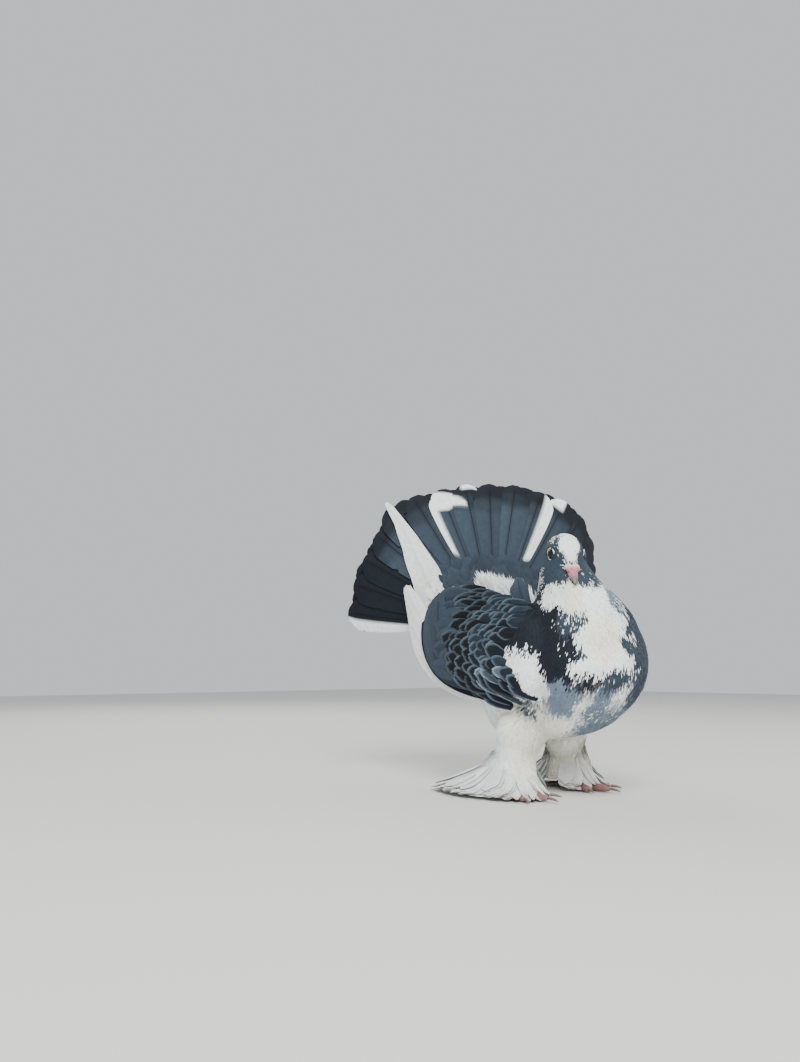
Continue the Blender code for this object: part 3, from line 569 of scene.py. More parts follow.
def closeBundle(name, bundle, *finish):
    # one mesh of a bundle, in which each feather has its own cell of the bake map
    points, faces, tints, vane, cells, normals = zip(*bundle)
    starts = np.cumsum([0] + [len(part) for part in points])
    faces = [part + start for part, start in zip(faces, starts)]
    wide = math.ceil(math.sqrt(len(bundle) * 1.6))
    high = math.ceil(len(bundle) / wide)
    corners = [np.array((index % wide, index // wide)) for index in range(len(bundle))]
    cells = [(corner + 0.06 + cell * 0.88) / np.array((wide, high)) for corner, cell in zip(corners, cells)]
    rest = map(np.concatenate, (faces, tints, cells, vane, normals))
    return buildMesh(name, np.concatenate(points) + birdShift, *rest, *finish)


def mixed(first, second, share):
    share = np.clip(share, 0, 1)[..., None]
    return first * (1 - share) + second * share


def vaneWidth(rows, half, rootShare, tipShare, widest):
    shares = rowShares(rows)
    before = rootShare + (1 - rootShare) * np.sin(np.clip(shares / widest, 0, 1) * math.pi / 2) ** 1.2
    after = 1 - (1 - tipShare) * (np.clip((shares - widest) / (1 - widest), 0, 1)) ** 2.2
    return half * np.where(shares < widest, before, after)


def roundEnd(rows, widest):
    # a half width that closes in a round tip
    shares = rowShares(rows)
    before = 0.55 + 0.45 * np.sin(np.clip(shares / widest, 0, 1) * math.pi / 2)
    after = np.sqrt(np.clip(1 - ((shares - widest) / (1.03 - widest)) ** 2, 0.0, 1))
    return np.where(shares < widest, before, after)


# Colours of a feather, by the share of its length and the place across it
def withShaft(field, shaftColour, shares, across, most, end=0.93):
    return mixed(field, shaftColour, np.exp(-((across / 0.05) ** 2)) * (shares < end) * most)


def plainTint(base, tipColour, shaftColour, source):
    strength = source.uniform(0.92, 1.1)

    def tint(shares, across):
        field = mixed(base * strength, tipColour * strength, (shares - 0.6) / 0.4 + 0.12 * np.abs(across))
        return withShaft(field, shaftColour, shares, across, 0.8)

    return tint


def covertTint(base, source):
    strength = source.uniform(0.88, 1.14)

    def tint(shares, across):
        field = mixed(base * 0.85 * strength, base * 1.12 * strength, shares ** 2 + 0.25 * np.abs(across))
        return withShaft(field, base * 0.6, shares, across, 0.35, 0.85)

    return tint


def lacedTint(centreColour, edgeColour, laceWidth, source):
    # a rim of another colour round the tip
    strength = source.uniform(0.75, 1.35)
    edge = mixed(centreColour, edgeColour, np.array(source.uniform(0.45, 1.0)))
    laceWidth = laceWidth * source.uniform(0.7, 1.6)
    lean = source.uniform(-0.10, 0.10)

    def tint(shares, across):
        ahead = np.clip((shares - 0.40) / 0.60, 0, 1)
        rim = np.hypot(across * (1 + lean * np.sign(across)) * 0.95, ahead)
        rim = rim + 0.03 * np.sin(across * 9 + lean * 60)
        field = mixed(centreColour * strength, edge, (rim - 1 + laceWidth) / (laceWidth * 0.9))
        return withShaft(field, centreColour * 0.5, shares, across, 0.4, 0.85)

    return tint


def soiledTint(base, source, amount):
    strength = source.uniform(0.9, 1.08)

    def tint(shares, across):
        dirt = amount * np.clip((shares - 0.55) / 0.45, 0, 1) ** 1.5 + 0 * across
        field = mixed(base * 0.9 * strength, colours["soiled"], dirt)
        return withShaft(field, base * 0.75, shares, across, 0.5)

    return tint


# Tail fan
fan = {
    "root": np.array((0.004, 0.050, 0.138)),
    "side": 80,
    "step": 10,
    "radius": 0.147,
    "longer": ((-36.0, 20.0, 0.06), (38.0, 12.0, 0.06)),
    "sweepRight": 20.0,
    "sweepLeft": 44.0,
    "sweepPower": 2.2,
    "start": 0.036,
    "halfWidth": 0.0166,
    "twist": 4.5,
    "backRow": -0.0036,
    "rows": 34,
    # beyond this angle the fan's feathers are painted dark slate, as painted shade
    "shadedFrom": 58,
}
fanTurn = np.array(
    Matrix.Rotation(math.radians(-38), 3, "Z")
    @ Matrix.Rotation(math.radians(-8), 3, "X")
    @ Matrix.Rotation(math.radians(1), 3, "Y")
)
# White parts by feather angle: from and to share of the length, from and to place across, slant of the tip
fanWhites = {
    15: ((0.80, 0.88, -0.9, 1.0, 0.05),),
    20: ((0.80, 0.97, -0.8, 1.0, 0.05), (0.35, 0.82, 0.70, 1.0, 0.0)),
    10: ((0.955, 1.01, -0.9, 0.3, 0.0), (0.79, 0.82, 0.10, 1.0, 0.12)),
    -20: ((0.32, 1.01, -1.0, -0.30, 0.0),),
    -30: ((0.90, 1.01, -0.2, 1.0, 0.0),),
    80: ((0.0, 1.01, 0.40, 1.0, 0.0),),
}
# A broad white feather over the fan: radius, its left and right border as feather angles
fanWedge = {
    "outline": ((0.056, 74, 44), (0.066, 71, 42), (0.076, 66, 39.5), (0.090, 57, 39), (0.116, 47, 38),
                (0.138, 42.2, 38), (0.153, 40.6, 38), (0.160, 39.8, 38.8)),
    "layer": 0.0026,
}
# The plate that the fan's feathers grow from
fanPlate = {"from": 0.022, "to": 0.050, "side": 84, "layer": 0.0018, "depth": 0.006}


def fanRay(degrees):
    angle = math.radians(degrees)
    most = fan["sweepRight"] if degrees > 0 else fan["sweepLeft"]
    sweep = math.radians(most) * (abs(degrees) / fan["side"]) ** fan["sweepPower"]
    across = math.sin(angle)
    return fanTurn @ np.array((-across * math.cos(sweep), abs(across) * math.sin(sweep), math.cos(angle)))


def fanFrame(degrees):
    # the directions out along a feather, across it and the one it faces
    ray = fanRay(degrees)
    side = unit(fanRay(degrees + 0.5) - fanRay(degrees - 0.5))
    face = unit(np.cross(side, ray))
    return ray, side, -face if face[1] > 0 else face


def fanReach(degrees):
    more = 0
    for middle, spread, share in fan["longer"]:
        more += share * math.exp(-(((degrees - middle) / spread) ** 2))
    return fan["radius"] * (1 + more)


def fanLine(degrees, start, length, layer, twist, rows, curl):
    ray, side, face = fanFrame(degrees)
    turn = math.copysign(math.radians(twist), degrees) if abs(degrees) > 0.01 else 0.0
    turnedSide = side * math.cos(turn) + face * math.sin(turn)
    turnedFace = face * math.cos(turn) - side * math.sin(turn)
    shares = rowShares(rows)[:, None]
    centre = fan["root"] + ray * (start + shares * length) + face * (layer + curl * shares**3)
    return centre, np.tile(turnedSide, (rows, 1)), np.tile(turnedFace, (rows, 1))


def fanTint(degrees, source):
    whites = fanWhites.get(degrees, ())
    base = colours["slate"] * source.uniform(0.86, 1.16)
    # painted shade: the feathers beyond this angle lie in shade and are painted dark slate
    if degrees > fan["shadedFrom"]:
        base = colours["slateDark"] * source.uniform(0.8, 1.0)
    tip = colours["slateDark"] * source.uniform(0.75, 0.95)

    def tint(shares, across):
        # the tip band's edge waves, and comes on sooner at each feather's edges as painted shade where the
        # feathers overlap
        bandWaveAndEdgeShade = 0.03 * np.sin(shares * 37 + degrees) + 0.05 * np.abs(across)
        field = mixed(base, tip, (shares - 0.72 + bandWaveAndEdgeShade) / 0.2 + 0 * across)
        # painted light and shade across each feather: one web up to a tenth darker, the other up to a tenth
        # lighter
        field = field * (1 + 0.10 * across * np.ones_like(shares))[..., None]
        field = withShaft(field, colours["black"] * 0.6, shares, across, 0.9, 0.95)
        for low, high, left, right, slant in whites:
            within = np.minimum(shares - low, high + slant * across - shares) / 0.024 + 0.5
            beside = (across >= left) & (across <= right)
            field = mixed(field, colours["white"], np.clip(within, 0, 1) * beside)
        return field

    return tint


def addFanWedge(bundle, source):
    radii, lefts, rights = zip(*fanWedge["outline"])
    radius = radii[0] + (radii[-1] - radii[0]) * rowShares(fan["rows"])
    left = np.interp(radius, radii, lefts)
    right = np.interp(radius, radii, rights)
    ray, side, face = np.array([fanFrame(degrees) for degrees in (left + right) / 2]).swapaxes(0, 1)
    centre = fan["root"] + ray * radius[:, None] + face * fanWedge["layer"]
    half = radius * np.radians(left - right) / 2
    tint = plainTint(colours["white"], colours["white"], colours["cream"] * 0.75, source)
    addFeather(bundle, (centre, side, face), half, tint, source, splits=0, lead=0.0, roundTip=0.1, cup=0.05)


def buildFan():
    source = np.random.default_rng(41)
    bundle = []
    most, step = fan["side"], fan["step"]
    angles = [(degrees, fan["backRow"]) for degrees in range(-most + step // 2, most, step)]
    angles += [(degrees, 0.0) for degrees in range(-most, most + 1, step)]
    width = vaneWidth(fan["rows"], fan["halfWidth"], 0.22, 0.70, 0.86)
    for degrees, layer in angles:
        length = (fanReach(degrees) - fan["start"]) * source.uniform(0.965, 1.0)
        lean = degrees + source.uniform(-0.6, 0.6)
        twist = fan["twist"] + source.uniform(-0.8, 0.8)
        line = fanLine(lean, fan["start"], length, layer, twist, fan["rows"], source.uniform(-0.004, -0.001))
        addFeather(bundle, line, width, fanTint(degrees, source), source,
                   fray=0.0003, roundTip=0.50, lead=0.55, cup=0.06)
    addFanWedge(bundle, source)
    plate = []
    for radius in np.linspace(fanPlate["from"], fanPlate["to"], 5):
        rays = [fanFrame(degrees) for degrees in np.linspace(-fanPlate["side"], fanPlate["side"], 40)]
        plate.append([fan["root"] + ray * radius + face * fanPlate["layer"] for ray, _, face in rays])
    addPlate(bundle, np.array(plate), -fanFrame(0)[2] * fanPlate["depth"], colours["slateDark"])
    closeBundle("tailFanFeathers", bundle, flightFinish, "flight_feathers",
                ("tail_fan_left", "tail_fan_centre", "tail_fan_right"))


# Coverts over and under the root of the fan: start, length, half width, layer, spacing, shift
covertRows = (
    (0.040, 0.036, 0.0092, 0.0036, 9, 0.0),
    (0.034, 0.034, 0.0088, 0.0050, 9, 4.5),
    (0.028, 0.031, 0.0084, 0.0064, 10, 0.0),
    (0.022, 0.028, 0.0080, 0.0078, 11, 5.0),
    (0.015, 0.026, 0.0076, 0.0092, 13, 0.0),
)
undertailRows = (
    (0.034, 0.040, 0.0105, -0.0085, 12, 0.0),
    (0.026, 0.036, 0.0100, -0.0102, 12, 6.0),
    (0.018, 0.030, 0.0095, -0.0118, 14, 0.0),
)
covert = {"side": 70, "whiteFrom": 44, "rows": 12}


def buildCoverts(name, rows, plain, replaced, slotName, material, seed):
    source = np.random.default_rng(seed)
    bundle = []
    for start, long, half, layer, spacing, shift in rows:
        width = vaneWidth(covert["rows"], half, 0.5, 0.62, 0.70)
        for degrees in np.arange(-covert["side"] + shift, covert["side"] + 0.01, spacing):
            length = long * source.uniform(0.88, 1.1)
            lean = degrees + source.uniform(-2.0, 2.0)
            line = fanLine(lean, start, length, layer, fan["twist"] + source.uniform(-1, 3), covert["rows"],
                           source.uniform(-0.002, 0.001))
            shade = plain if degrees < covert["whiteFrom"] else colours["white"] * 0.92
            addFeather(bundle, line, width, covertTint(shade, source), source,
                       splits=1, fray=0.0005, roundTip=1.1, cup=0.06, thickness=0.0003)
    closeBundle(name, bundle, material, slotName, replaced)


# Wings: the outline's heights along Y, pitched about the shoulder
wing = {
    "pivot": (-0.040, 0.120),
    "pitch": {"right": 0.0, "left": math.radians(-15)},
    "drop": {"right": 0.0, "left": 0.016},
    "bottom": ((-0.058, 0.106), (-0.035, 0.078), (0.000, 0.069), (0.030, 0.085), (0.056, 0.108)),
    "top": ((-0.058, 0.122), (-0.040, 0.150), (-0.015, 0.163), (0.020, 0.173), (0.056, 0.177)),
    "out": 0.0605,
    "rows": 30,
}
# The wing's front border by height: in front of it the coat lies over the wing
wingEdge = ((0.080, -0.036), (0.095, -0.027), (0.112, -0.015), (0.125, -0.022), (0.140, -0.034),
            (0.160, -0.036))
# Long feathers from the back layer out: layer and root, middle and tip along and up, each with its step
flightRows = {
    "primaries": {
        "count": 8, "half": 0.0108, "shape": (0.6, 0.50, 0.66), "roundTip": 0.6,
        "first": (-0.0103, 0.004, 0.079, 0.084, 0.086, 0.104, 0.150),
        "step": (0.0043, 0.022, 0.024, -0.010, 0.034, 0.006, 0.030),
        "base": "white", "tip": 1.0, "shaft": "cream", "dark": 0.8,
    },
    "darkBorder": {
        "count": 1, "half": 0.0060, "shape": (0.7, 0.45, 0.6), "roundTip": 0.8,
        "first": (-0.0054, 0.016, 0.082, 0.084, 0.093, 0.083, 0.146),
        "step": (0, 0, 0, 0, 0, 0, 0),
        "base": "black", "tip": 1.3, "shaft": "black", "dark": 0.5,
    },
    "secondaries": {
        "count": 6, "half": 0.0112, "shape": (0.5, 0.62, 0.60), "roundTip": 0.9,
        "first": (-0.0040, 0.020, 0.090, 0.086, 0.098, 0.070, 0.163),
        "step": (0.0036, -0.006, 0.022, -0.020, 0.020, -0.008, 0.007),
        "base": "slate", "tip": 1.15, "shaft": "slateDark", "dark": 1.0, "vary": (0.85, 1.1),
    },
}
wingCoverts = {"rows": 11, "start": 0.028, "ahead": 0.064, "smaller": 0.42, "spacing": 0.0098, "reach": 0.033,
               "half": 0.0088, "points": 14, "mottledBelow": 0.100, "mottledShare": 0.34}


def wingPoint(sideName, y, z, layer):
    # a place on the curved side of the wing
    turn = wing["pitch"][sideName]
    dy = y - wing["pivot"][0]
    dz = z - wing["pivot"][1]
    turnedY = wing["pivot"][0] + dy * math.cos(turn) - dz * math.sin(turn)
    turnedZ = wing["pivot"][1] + dy * math.sin(turn) + dz * math.cos(turn) - wing["drop"][sideName]
    high = np.maximum(0.0, turnedZ - 0.120) * (1 - 0.7 * np.clip((y - 0.030) / 0.050, 0, 1))
    low = np.maximum(0.0, 0.105 - turnedZ)
    fore = np.maximum(0.0, -0.030 - y)
    out = wing["out"] - 8.0 * high**2 - 12.0 * low**2 - 6.0 * fore**2 + layer
    return np.stack([sides[sideName] * out, turnedY, turnedZ], -1)


def wingHeights(y):
    return np.interp(y, *zip(*wing["bottom"])), np.interp(y, *zip(*wing["top"]))


def wingLine(sideName, start, middle, end, layers, rows):
    shares = rowShares(rows)
    y, z = ((1 - shares) ** 2 * first + 2 * shares * (1 - shares) * second + shares**2 * third
            for first, second, third in zip(start, middle, end))
    centre = wingPoint(sideName, y, z, layers[0] + (layers[1] - layers[0]) * shares**0.5)
    ahead = unit(np.gradient(centre, axis=0))
    outward = np.array((sides[sideName], 0, 0))
    side = unit(np.cross(outward, ahead))
    face = np.cross(ahead, side)
    return centre, side, -face if face[rows // 2] @ outward < 0 else face


def wingBed(sideName):
    # the folded wing's body, whose front edge runs into the breast
    across, up = 26, 18
    along = np.linspace(wing["bottom"][0][0], wing["bottom"][-1][0], across)
    low, high = wingHeights(along)
    height = low[None, :] + (high - low)[None, :] * np.linspace(0, 1, up)[:, None]
    spread = np.repeat(along[None, :], up, 0)
    edge = np.maximum(np.abs(np.linspace(-1, 1, up))[:, None], np.linspace(-1, 1, across)[None, :])
    fore = np.clip((-0.034 - along) / 0.024, 0, 1) ** 1.3
    layer = -0.0004 - 0.0035 * np.clip(edge, 0, 1) ** 8 - 0.0085 * fore[None, :]
    return plateSolid(wingPoint(sideName, spread, height, layer), np.array((-sides[sideName] * 0.020, 0, 0)))


def addWingCoverts(bundle, sideName, source):
    for row in range(wingCoverts["rows"]):
        share = row / (wingCoverts["rows"] - 1)
        startY = wingCoverts["start"] - wingCoverts["ahead"] * share
        size = 1.0 - wingCoverts["smaller"] * share
        low, high = wingHeights(startY + 0.010)
        count = max(3, int((high - low - 0.004) / (wingCoverts["spacing"] * size)))
        for index in range(count):
            part = (index + (0.5 if row % 2 else 0.1) + source.uniform(-0.20, 0.20)) / count
            z = low + 0.003 + (high - low - 0.005) * part
            rise = 0.014 * (0.55 - part) + 0.004 + source.uniform(-0.0028, 0.0028)
            y = startY + source.uniform(-0.0034, 0.0034)
            if y < float(np.interp(z, *zip(*wingEdge))) - 0.006:
                continue
            reach = wingCoverts["reach"] * size * source.uniform(0.88, 1.08)
            layer = 0.0014 * share + source.uniform(0, 0.0004)
            depth = -0.0018 - 0.0045 * max(0.0, share - 0.7) / 0.3
            line = wingLine(sideName, (y, z), (y + reach * 0.5, z + rise * 0.6), (y + reach, z + rise),
                            (depth, layer), wingCoverts["points"])
            half = wingCoverts["half"] * size * source.uniform(0.82, 1.22)
            # both wings take the markings of the right one
            seen = line[0][10] * (-1 if sideName == "left" else 1, 1, 1)
            mark = markAt((seen + birdShift)[None], 5)[0]
            pale = mark.mean() > colours["lacing"].mean() * 1.6 and seen[1] < -0.006
            mottled = share > 0.55 and z < wingCoverts["mottledBelow"]
            if mottled and source.random() < wingCoverts["mottledShare"]:
                half *= 0.8
                lace = (colours["slatePale"] * source.uniform(0.15, 0.6), colours["slatePale"] * 1.5, 0.22)
            elif pale:
                lace = (colours["white"] * 0.9, colours["white"], 0.3)
            elif share < 0.10:
                lace = (colours["slate"] * 0.8, colours["slate"] * 1.2, 0.2)
            elif share < 0.45:
                lace = (colours["black"], colours["lacing"] * 0.75, 0.12)
            else:
                lace = (colours["slateDark"] * source.choice((0.55, 1.0, 1.8)), colours["lacing"], 0.15)
            width = half * roundEnd(wingCoverts["points"], 0.55)
            addFeather(bundle, line, width, lacedTint(*lace, source), source,
                       splits=0, roundTip=0.3, cup=0.06, thickness=0.0003, lead=0.2)


def buildWing(sideName):
    source = np.random.default_rng(61 if sideName == "right" else 62)
    bundle = []
    for group in flightRows.values():
        for index in range(group["count"]):
            part = index / max(group["count"] - 1, 1)
            layer, *place = np.array(group["first"]) + np.array(group["step"]) * part
            line = wingLine(sideName, place[:2], place[2:4], place[4:], (layer, layer), wing["rows"])
            width = vaneWidth(wing["rows"], group["half"], *group["shape"])
            base = colours[group["base"]] * (source.uniform(*group["vary"]) if "vary" in group else 1)
            tint = plainTint(base, base * group["tip"], colours[group["shaft"]] * group["dark"], source)
            addFeather(bundle, line, width, tint, source, splits=1, roundTip=group["roundTip"])
    addWingCoverts(bundle, sideName, source)
    closeBundle("wingFeathers" + sideName.capitalize(), bundle, flightFinish, "flight_feathers",
                ("wing_" + sideName,))


# Feathered feet
muff = {
    "hock": {"right": np.array((-0.0285, 0.0020, 0.0)), "left": np.array((0.0450, 0.0050, 0.0))},
    "angles": (-55, 235),
    "top": 0.041,
    "bottom": 0.0055,
    "coreRadius": 0.0165,
    "coreShare": 0.66,
    "fade": 28.0,
    "rearLift": 0.0016,
    "count": 34,
    "rows": 18,
    "floorGap": 0.0006,
}
# Tiers of foot feathers: height of the root, share of the reach, height of the tip, half width
muffTiers = (
    (0.016, 1.00, 0.0014, 0.0098),
    (0.021, 0.99, 0.0026, 0.0098),
    (0.026, 0.97, 0.0040, 0.0098),
    (0.032, 0.94, 0.0058, 0.0096),
)
# Reach from the shank by angle, from the inside of the foot round its front to the back
muffReaches = {
    "right": ((-55, 0.026), (-20, 0.032), (10, 0.034), (40, 0.034), (70, 0.033), (110, 0.036), (140, 0.057),
              (163, 0.081), (183, 0.079), (210, 0.047), (235, 0.032)),
    "left": ((-55, 0.028), (-20, 0.031), (10, 0.034), (36, 0.040), (70, 0.044), (110, 0.046), (140, 0.052),
             (165, 0.062), (185, 0.056), (210, 0.042), (235, 0.036)),
}


def muffReach(sideName, degrees):
    return float(np.interp(degrees, *zip(*muffReaches[sideName])))


def toeDirection(sideName, degrees):
    angle = math.radians(degrees)
    return np.array((sides[sideName] * math.sin(angle), -math.cos(angle), 0.0))


def muffCore(sideName):
    # the wedge of down round the shank, which the coat covers
    core = muff["coreRadius"]
    least, most = muff["angles"]
    rings = []
    for level in np.linspace(0, 1, 14):
        closing = min(1.0, level / 0.10 + 0.05, (1 - level) / 0.06 + 0.05)
        height = muff["bottom"] + (muff["top"] - muff["bottom"]) * level
        ring = []
        for turn in np.linspace(0, 360, 41)[:-1]:
            degrees = turn if turn <= (least + most) / 2 + 180 else turn - 360
            beyond = max(least - degrees, degrees - most, 0.0)
            inside = muff["coreShare"] * muffReach(sideName, min(max(degrees, least), most))
            out = core + (inside - core) * math.exp(-((beyond / muff["fade"]) ** 2))
            slope = core + (out - core) * (1 - level) ** 1.1
            place = muff["hock"][sideName] + toeDirection(sideName, degrees) * slope * closing
            ring.append(place + np.array((0, 0, height)))
        rings.append(ring)
    return tubeSolid(np.array(rings))


def muffCurve(sideName, degrees, stretch, front, root, tip):
    # a foot feather's middle line, from the shank down to the floor
    shares = rowShares(muff["rows"])[:, None]
    reach = muffReach(sideName, degrees) * stretch
    inner = 0.0135 * (1 - front) + 0.0105 * front
    far = inner + (reach - inner) * shares ** (1.15 - 0.25 * front)
    fall = 1 - (1 - shares) ** (1.35 - 0.25 * (1 - front))
    height = root + (tip + muff["rearLift"] * (1 - front) - root) * fall
    return muff["hock"][sideName] + toeDirection(sideName, degrees) * far + np.array((0, 0, 1)) * height


def buildMuff(sideName):
    source = np.random.default_rng(71 if sideName == "right" else 72)
    bundle = []
    least, most = muff["angles"]
    shares = rowShares(muff["rows"])[:, None]
    for root, share, tip, half in muffTiers:
        for index in range(muff["count"]):
            degrees = least + (most - least) * ((index + source.uniform(0.25, 0.75)) / muff["count"])
            # slim, curved locks over the toes and broad feathers behind
            front = math.exp(-(((degrees - 15) / 62) ** 4))
            form = (share * source.uniform(0.92 - 0.24 * front, 1.0), front, root, tip)
            centre = muffCurve(sideName, degrees, *form)
            ahead = unit(np.gradient(centre, axis=0))
            across = muffCurve(sideName, degrees + 2, *form) - muffCurve(sideName, degrees - 2, *form)
            across = flattened(across, ahead)
            face = np.cross(across, ahead)
            face = face * np.where(face[:, 2:] < 0, -1.0, 1.0)
            sway = np.cross(toeDirection(sideName, degrees), (0, 0, 1)) * source.uniform(-0.14, 0.14)
            sway = sway * (0.2 + 0.8 * front)
            centre = centre + sway * shares**2 * muffReach(sideName, degrees)
            tilt = math.radians(source.uniform(-9, 9) * (0.15 + 0.85 * front))
            turned = across * math.cos(tilt) + face * math.sin(tilt)
            up = face * math.cos(tilt) - across * math.sin(tilt)
            wide = half * (1 - 0.68 * front) * source.uniform(0.85, 1.15)
            width = vaneWidth(muff["rows"], wide, 0.5, 0.55 - 0.25 * front, 0.60)
            tint = soiledTint(colours["white"], source, 0.10 + 0.5 * front * (tip < 0.006))
            addFeather(bundle, (centre, turned, up), width, tint, source,
                       splits=1, fray=0.0003, roundTip=0.8, cup=0.05 * front, thickness=0.00025)
    made = closeBundle("footFeathers" + sideName.capitalize(), bundle, whiteFinish, "white_feathers",
                       ("muff_" + sideName,))
    lowest = pointsOf(made.data)
    lowest[:, 2] = np.maximum(lowest[:, 2], muff["floorGap"])
    setPoints(made.data, lowest)


# Skin under the coat
# the skin's shade is a painted shade: it darkens the coat's markings where the skin shows between blades
skinPiece = {"voxel": 0.0017, "smoothing": 6, "depthBody": 0.0021, "depthHead": 0.0010, "shade": 0.75}


def plainSolid(name, points, faces):
    # a plain object, to be fused with others
    mesh = bpy.data.meshes.new(name)
    mesh.from_pydata((points + birdShift).tolist(), [], faces.tolist())
    return newObject(name, mesh)


def buildSkin():
    copies = [copyNode(name) for name in flesh]
    for sideName in sides:
        copies.append(plainSolid("wingBed", *wingBed(sideName)))
        copies.append(plainSolid("muffCore", *muffCore(sideName)))
    skin = remeshed(joinAll(copies, "skin"), skinPiece["voxel"], skinPiece["smoothing"])
    mesh = skin.data
    points = pointsOf(mesh)
    depth = skinPiece["depthBody"] + (skinPiece["depthHead"] - skinPiece["depthBody"]) * nearHead(points)
    setPoints(mesh, points - normalsOf(mesh) * depth[:, None])
    for layer in list(mesh.uv_layers):
        mesh.uv_layers.remove(layer)
    mesh.uv_layers.new(name="OFBake")
    makeActive(skin)
    bpy.ops.object.mode_set(mode="EDIT")
    bpy.ops.mesh.select_all(action="SELECT")
    bpy.ops.uv.smart_project(angle_limit=math.radians(66), island_margin=0.004)
    bpy.ops.object.mode_set(mode="OBJECT")
    # painted shade: the skin under the coat takes the coat's markings at 0.75 of their brightness
    paintPoints(mesh, markAt(pointsOf(mesh)) * skinPiece["shade"])
    return finishPiece(skin, coatFinish, flesh)


# The coat's lie: place, direction, then length, half width, spacing and lift, in mm.
# A head place, in the head's frame, counts on both sides where it is off the middle.
headLie = (
    ((0, -18, 6), (0.0, 0.35, 1.0), (3.4, 0.42, 0.72, 0.6)),
    ((0, -4, 20), (0.0, 1.0, 0.15), (5.0, 0.50, 0.88, 0.8)),
    ((0, 20, 6), (0.0, 0.5, -1.0), (7.5, 0.62, 1.05, 1.1)),
    ((16, -6, -4), (0.0, 1.0, -0.45), (4.2, 0.46, 0.78, 0.7)),
    ((14, -10, 9), (0.0, 1.0, 0.25), (3.4, 0.42, 0.74, 0.6)),
    ((0, -12, -16), (0.0, 0.25, -1.0), (5.4, 0.50, 0.88, 0.8)),
)
bodyLie = (
    ((-30, -60, 168), (-0.10, -0.20, -1.0), (11.5, 0.62, 1.12, 1.8)),
    ((10, -55, 168), (0.10, -0.20, -1.0), (11.5, 0.62, 1.12, 1.8)),
    ((-45, -40, 145), (-0.20, 0.10, -1.0), (12.0, 0.80, 1.35, 1.6)),
    ((38, -40, 145), (0.20, 0.10, -1.0), (12.0, 0.80, 1.45, 1.6)),
    ((-10, -90, 140), (0.0, -0.30, -1.0), (14.5, 0.68, 1.25, 2.2)),
    ((-5, -15, 170), (0.0, 0.50, -0.90), (11.0, 0.85, 1.50, 1.7)),
    ((-3, -102, 110), (0.0, 0.0, -1.0), (14.0, 0.85, 1.45, 2.0)),
    ((-50, -60, 105), (-0.1, 0.45, -1.0), (14.0, 1.00, 1.60, 1.8)),
    ((48, -60, 105), (0.1, 0.45, -1.0), (14.0, 1.10, 1.80, 1.8)),
    ((0, -80, 65), (0.0, 0.70, -0.80), (15.0, 1.10, 1.70, 1.8)),
    ((0, -20, 47), (0.0, 1.0, 0.0), (15.0, 1.30, 2.00, 1.8)),
    ((-48, 0, 80), (0.0, 1.0, -0.25), (15.0, 1.30, 1.90, 1.8)),
    ((48, 0, 80), (0.0, 1.0, -0.25), (15.0, 1.40, 2.10, 1.8)),
    ((0, 60, 95), (0.0, 0.7, 0.8), (16.0, 1.50, 2.20, 2.2)),
    ((0, 15, 155), (0.0, 1.0, 0.10), (15.0, 1.50, 2.10, 1.8)),
    ((3, 50, 165), (0.0, 0.45, 1.0), (15.0, 1.20, 1.90, 2.6)),
    ((-28, -2, 45), (0.0, 0.10, -1.0), (13.0, 1.10, 1.70, 1.6)),
    ((40, 2, 45), (0.0, 0.10, -1.0), (13.0, 1.10, 1.70, 1.6)),
)
muffLie = {"share": 0.50, "height": 0.016, "fall": 0.75, "sizes": (15.0, 1.20, 1.70, 1.6)}
# Places where single white feathers show among the dark ones: photo place, reach in mm, share
flecks = {
    "crownRight": (554, 539, 5, 0.45),
    "browRight": (557, 545, 3, 0.20),
    "crownTop": (563, 537, 5, 0.30),
    "loreRight": (559, 556, 4, 0.08),
    "behindCheek": (540, 578, 7, 0.55),
    "underCheek": (553, 583, 5, 0.40),
    "cheekFar": (588, 577, 4, 0.20),
    "notch": (574, 608, 7, 0.50),
    "notchLow": (560, 618, 6, 0.12),
    "bibSide": (568, 638, 5, 0.14),
    "rightEdge": (614, 596, 6, 0.40),
    "lowBreast": (592, 702, 10, 0.30),
    "lowBreastRight": (615, 706, 10, 0.30),
    "mottle": (510, 680, 8, 0.35),
    "mottleLow": (528, 698, 7, 0.35),
}
coat = {"samples": 900000, "unruly": 0.07, "streakUpper": 0.0022, "streakLower": 0.0042, "blend": 0.85,
        "lowBelow": 0.108, "eyeRing": 0.0057, "billGap": 0.0012, "neckAbove": 0.132, "legsBelow": 0.062,
        "breastBefore": -0.02, "lowest": 0.0040, "sunk": 0.0004, "floorGap": 0.0008,
        "softSeeds": range(5, 12)}


def gatherLie():
    rows = []
    for place, direction, sizes in headLie:
        for side in (-1, 1) if place[0] else (1,):
            rows.append((onHead(*(np.array(place) * (side, 1, 1) / 1000)), headAxes @ direction, sizes))
    rows += [(np.array(place) / 1000, np.array(direction), sizes) for place, direction, sizes in bodyLie]
    for sideName in sides:
        for degrees in range(-60, 300, 30):
            out = toeDirection(sideName, degrees)
            reach = muffReach(sideName, degrees if degrees < 240 else degrees - 360) * muffLie["share"]
            place = muff["hock"][sideName] + np.array((0, 0, muffLie["height"])) + out * reach
            rows.append((place, out - np.array((0, 0, muffLie["fall"])), muffLie["sizes"]))
    places, directions, sizes = (np.array(part) for part in zip(*rows))
    return places + birdShift, unit(directions), sizes / 1000


def lieAt(points, lie):
    places, directions, sizes = lie
    away = np.linalg.norm(points[:, None] - places[None], axis=2)
    weights = 1 / (away + 0.004) ** 4
    weights /= weights.sum(1)[:, None]
    return weights @ directions, weights @ sizes


def fleckShares(points):
    shares = np.zeros(len(points))
    for across, down, reach, share in flecks.values():
        place = castFromPhoto(across, down)
        if place is not None:
            away = np.linalg.norm(points - place, axis=1) * 1000
            shares = np.maximum(shares, share * np.clip(1.6 - away / reach, 0, 1))
    return shares


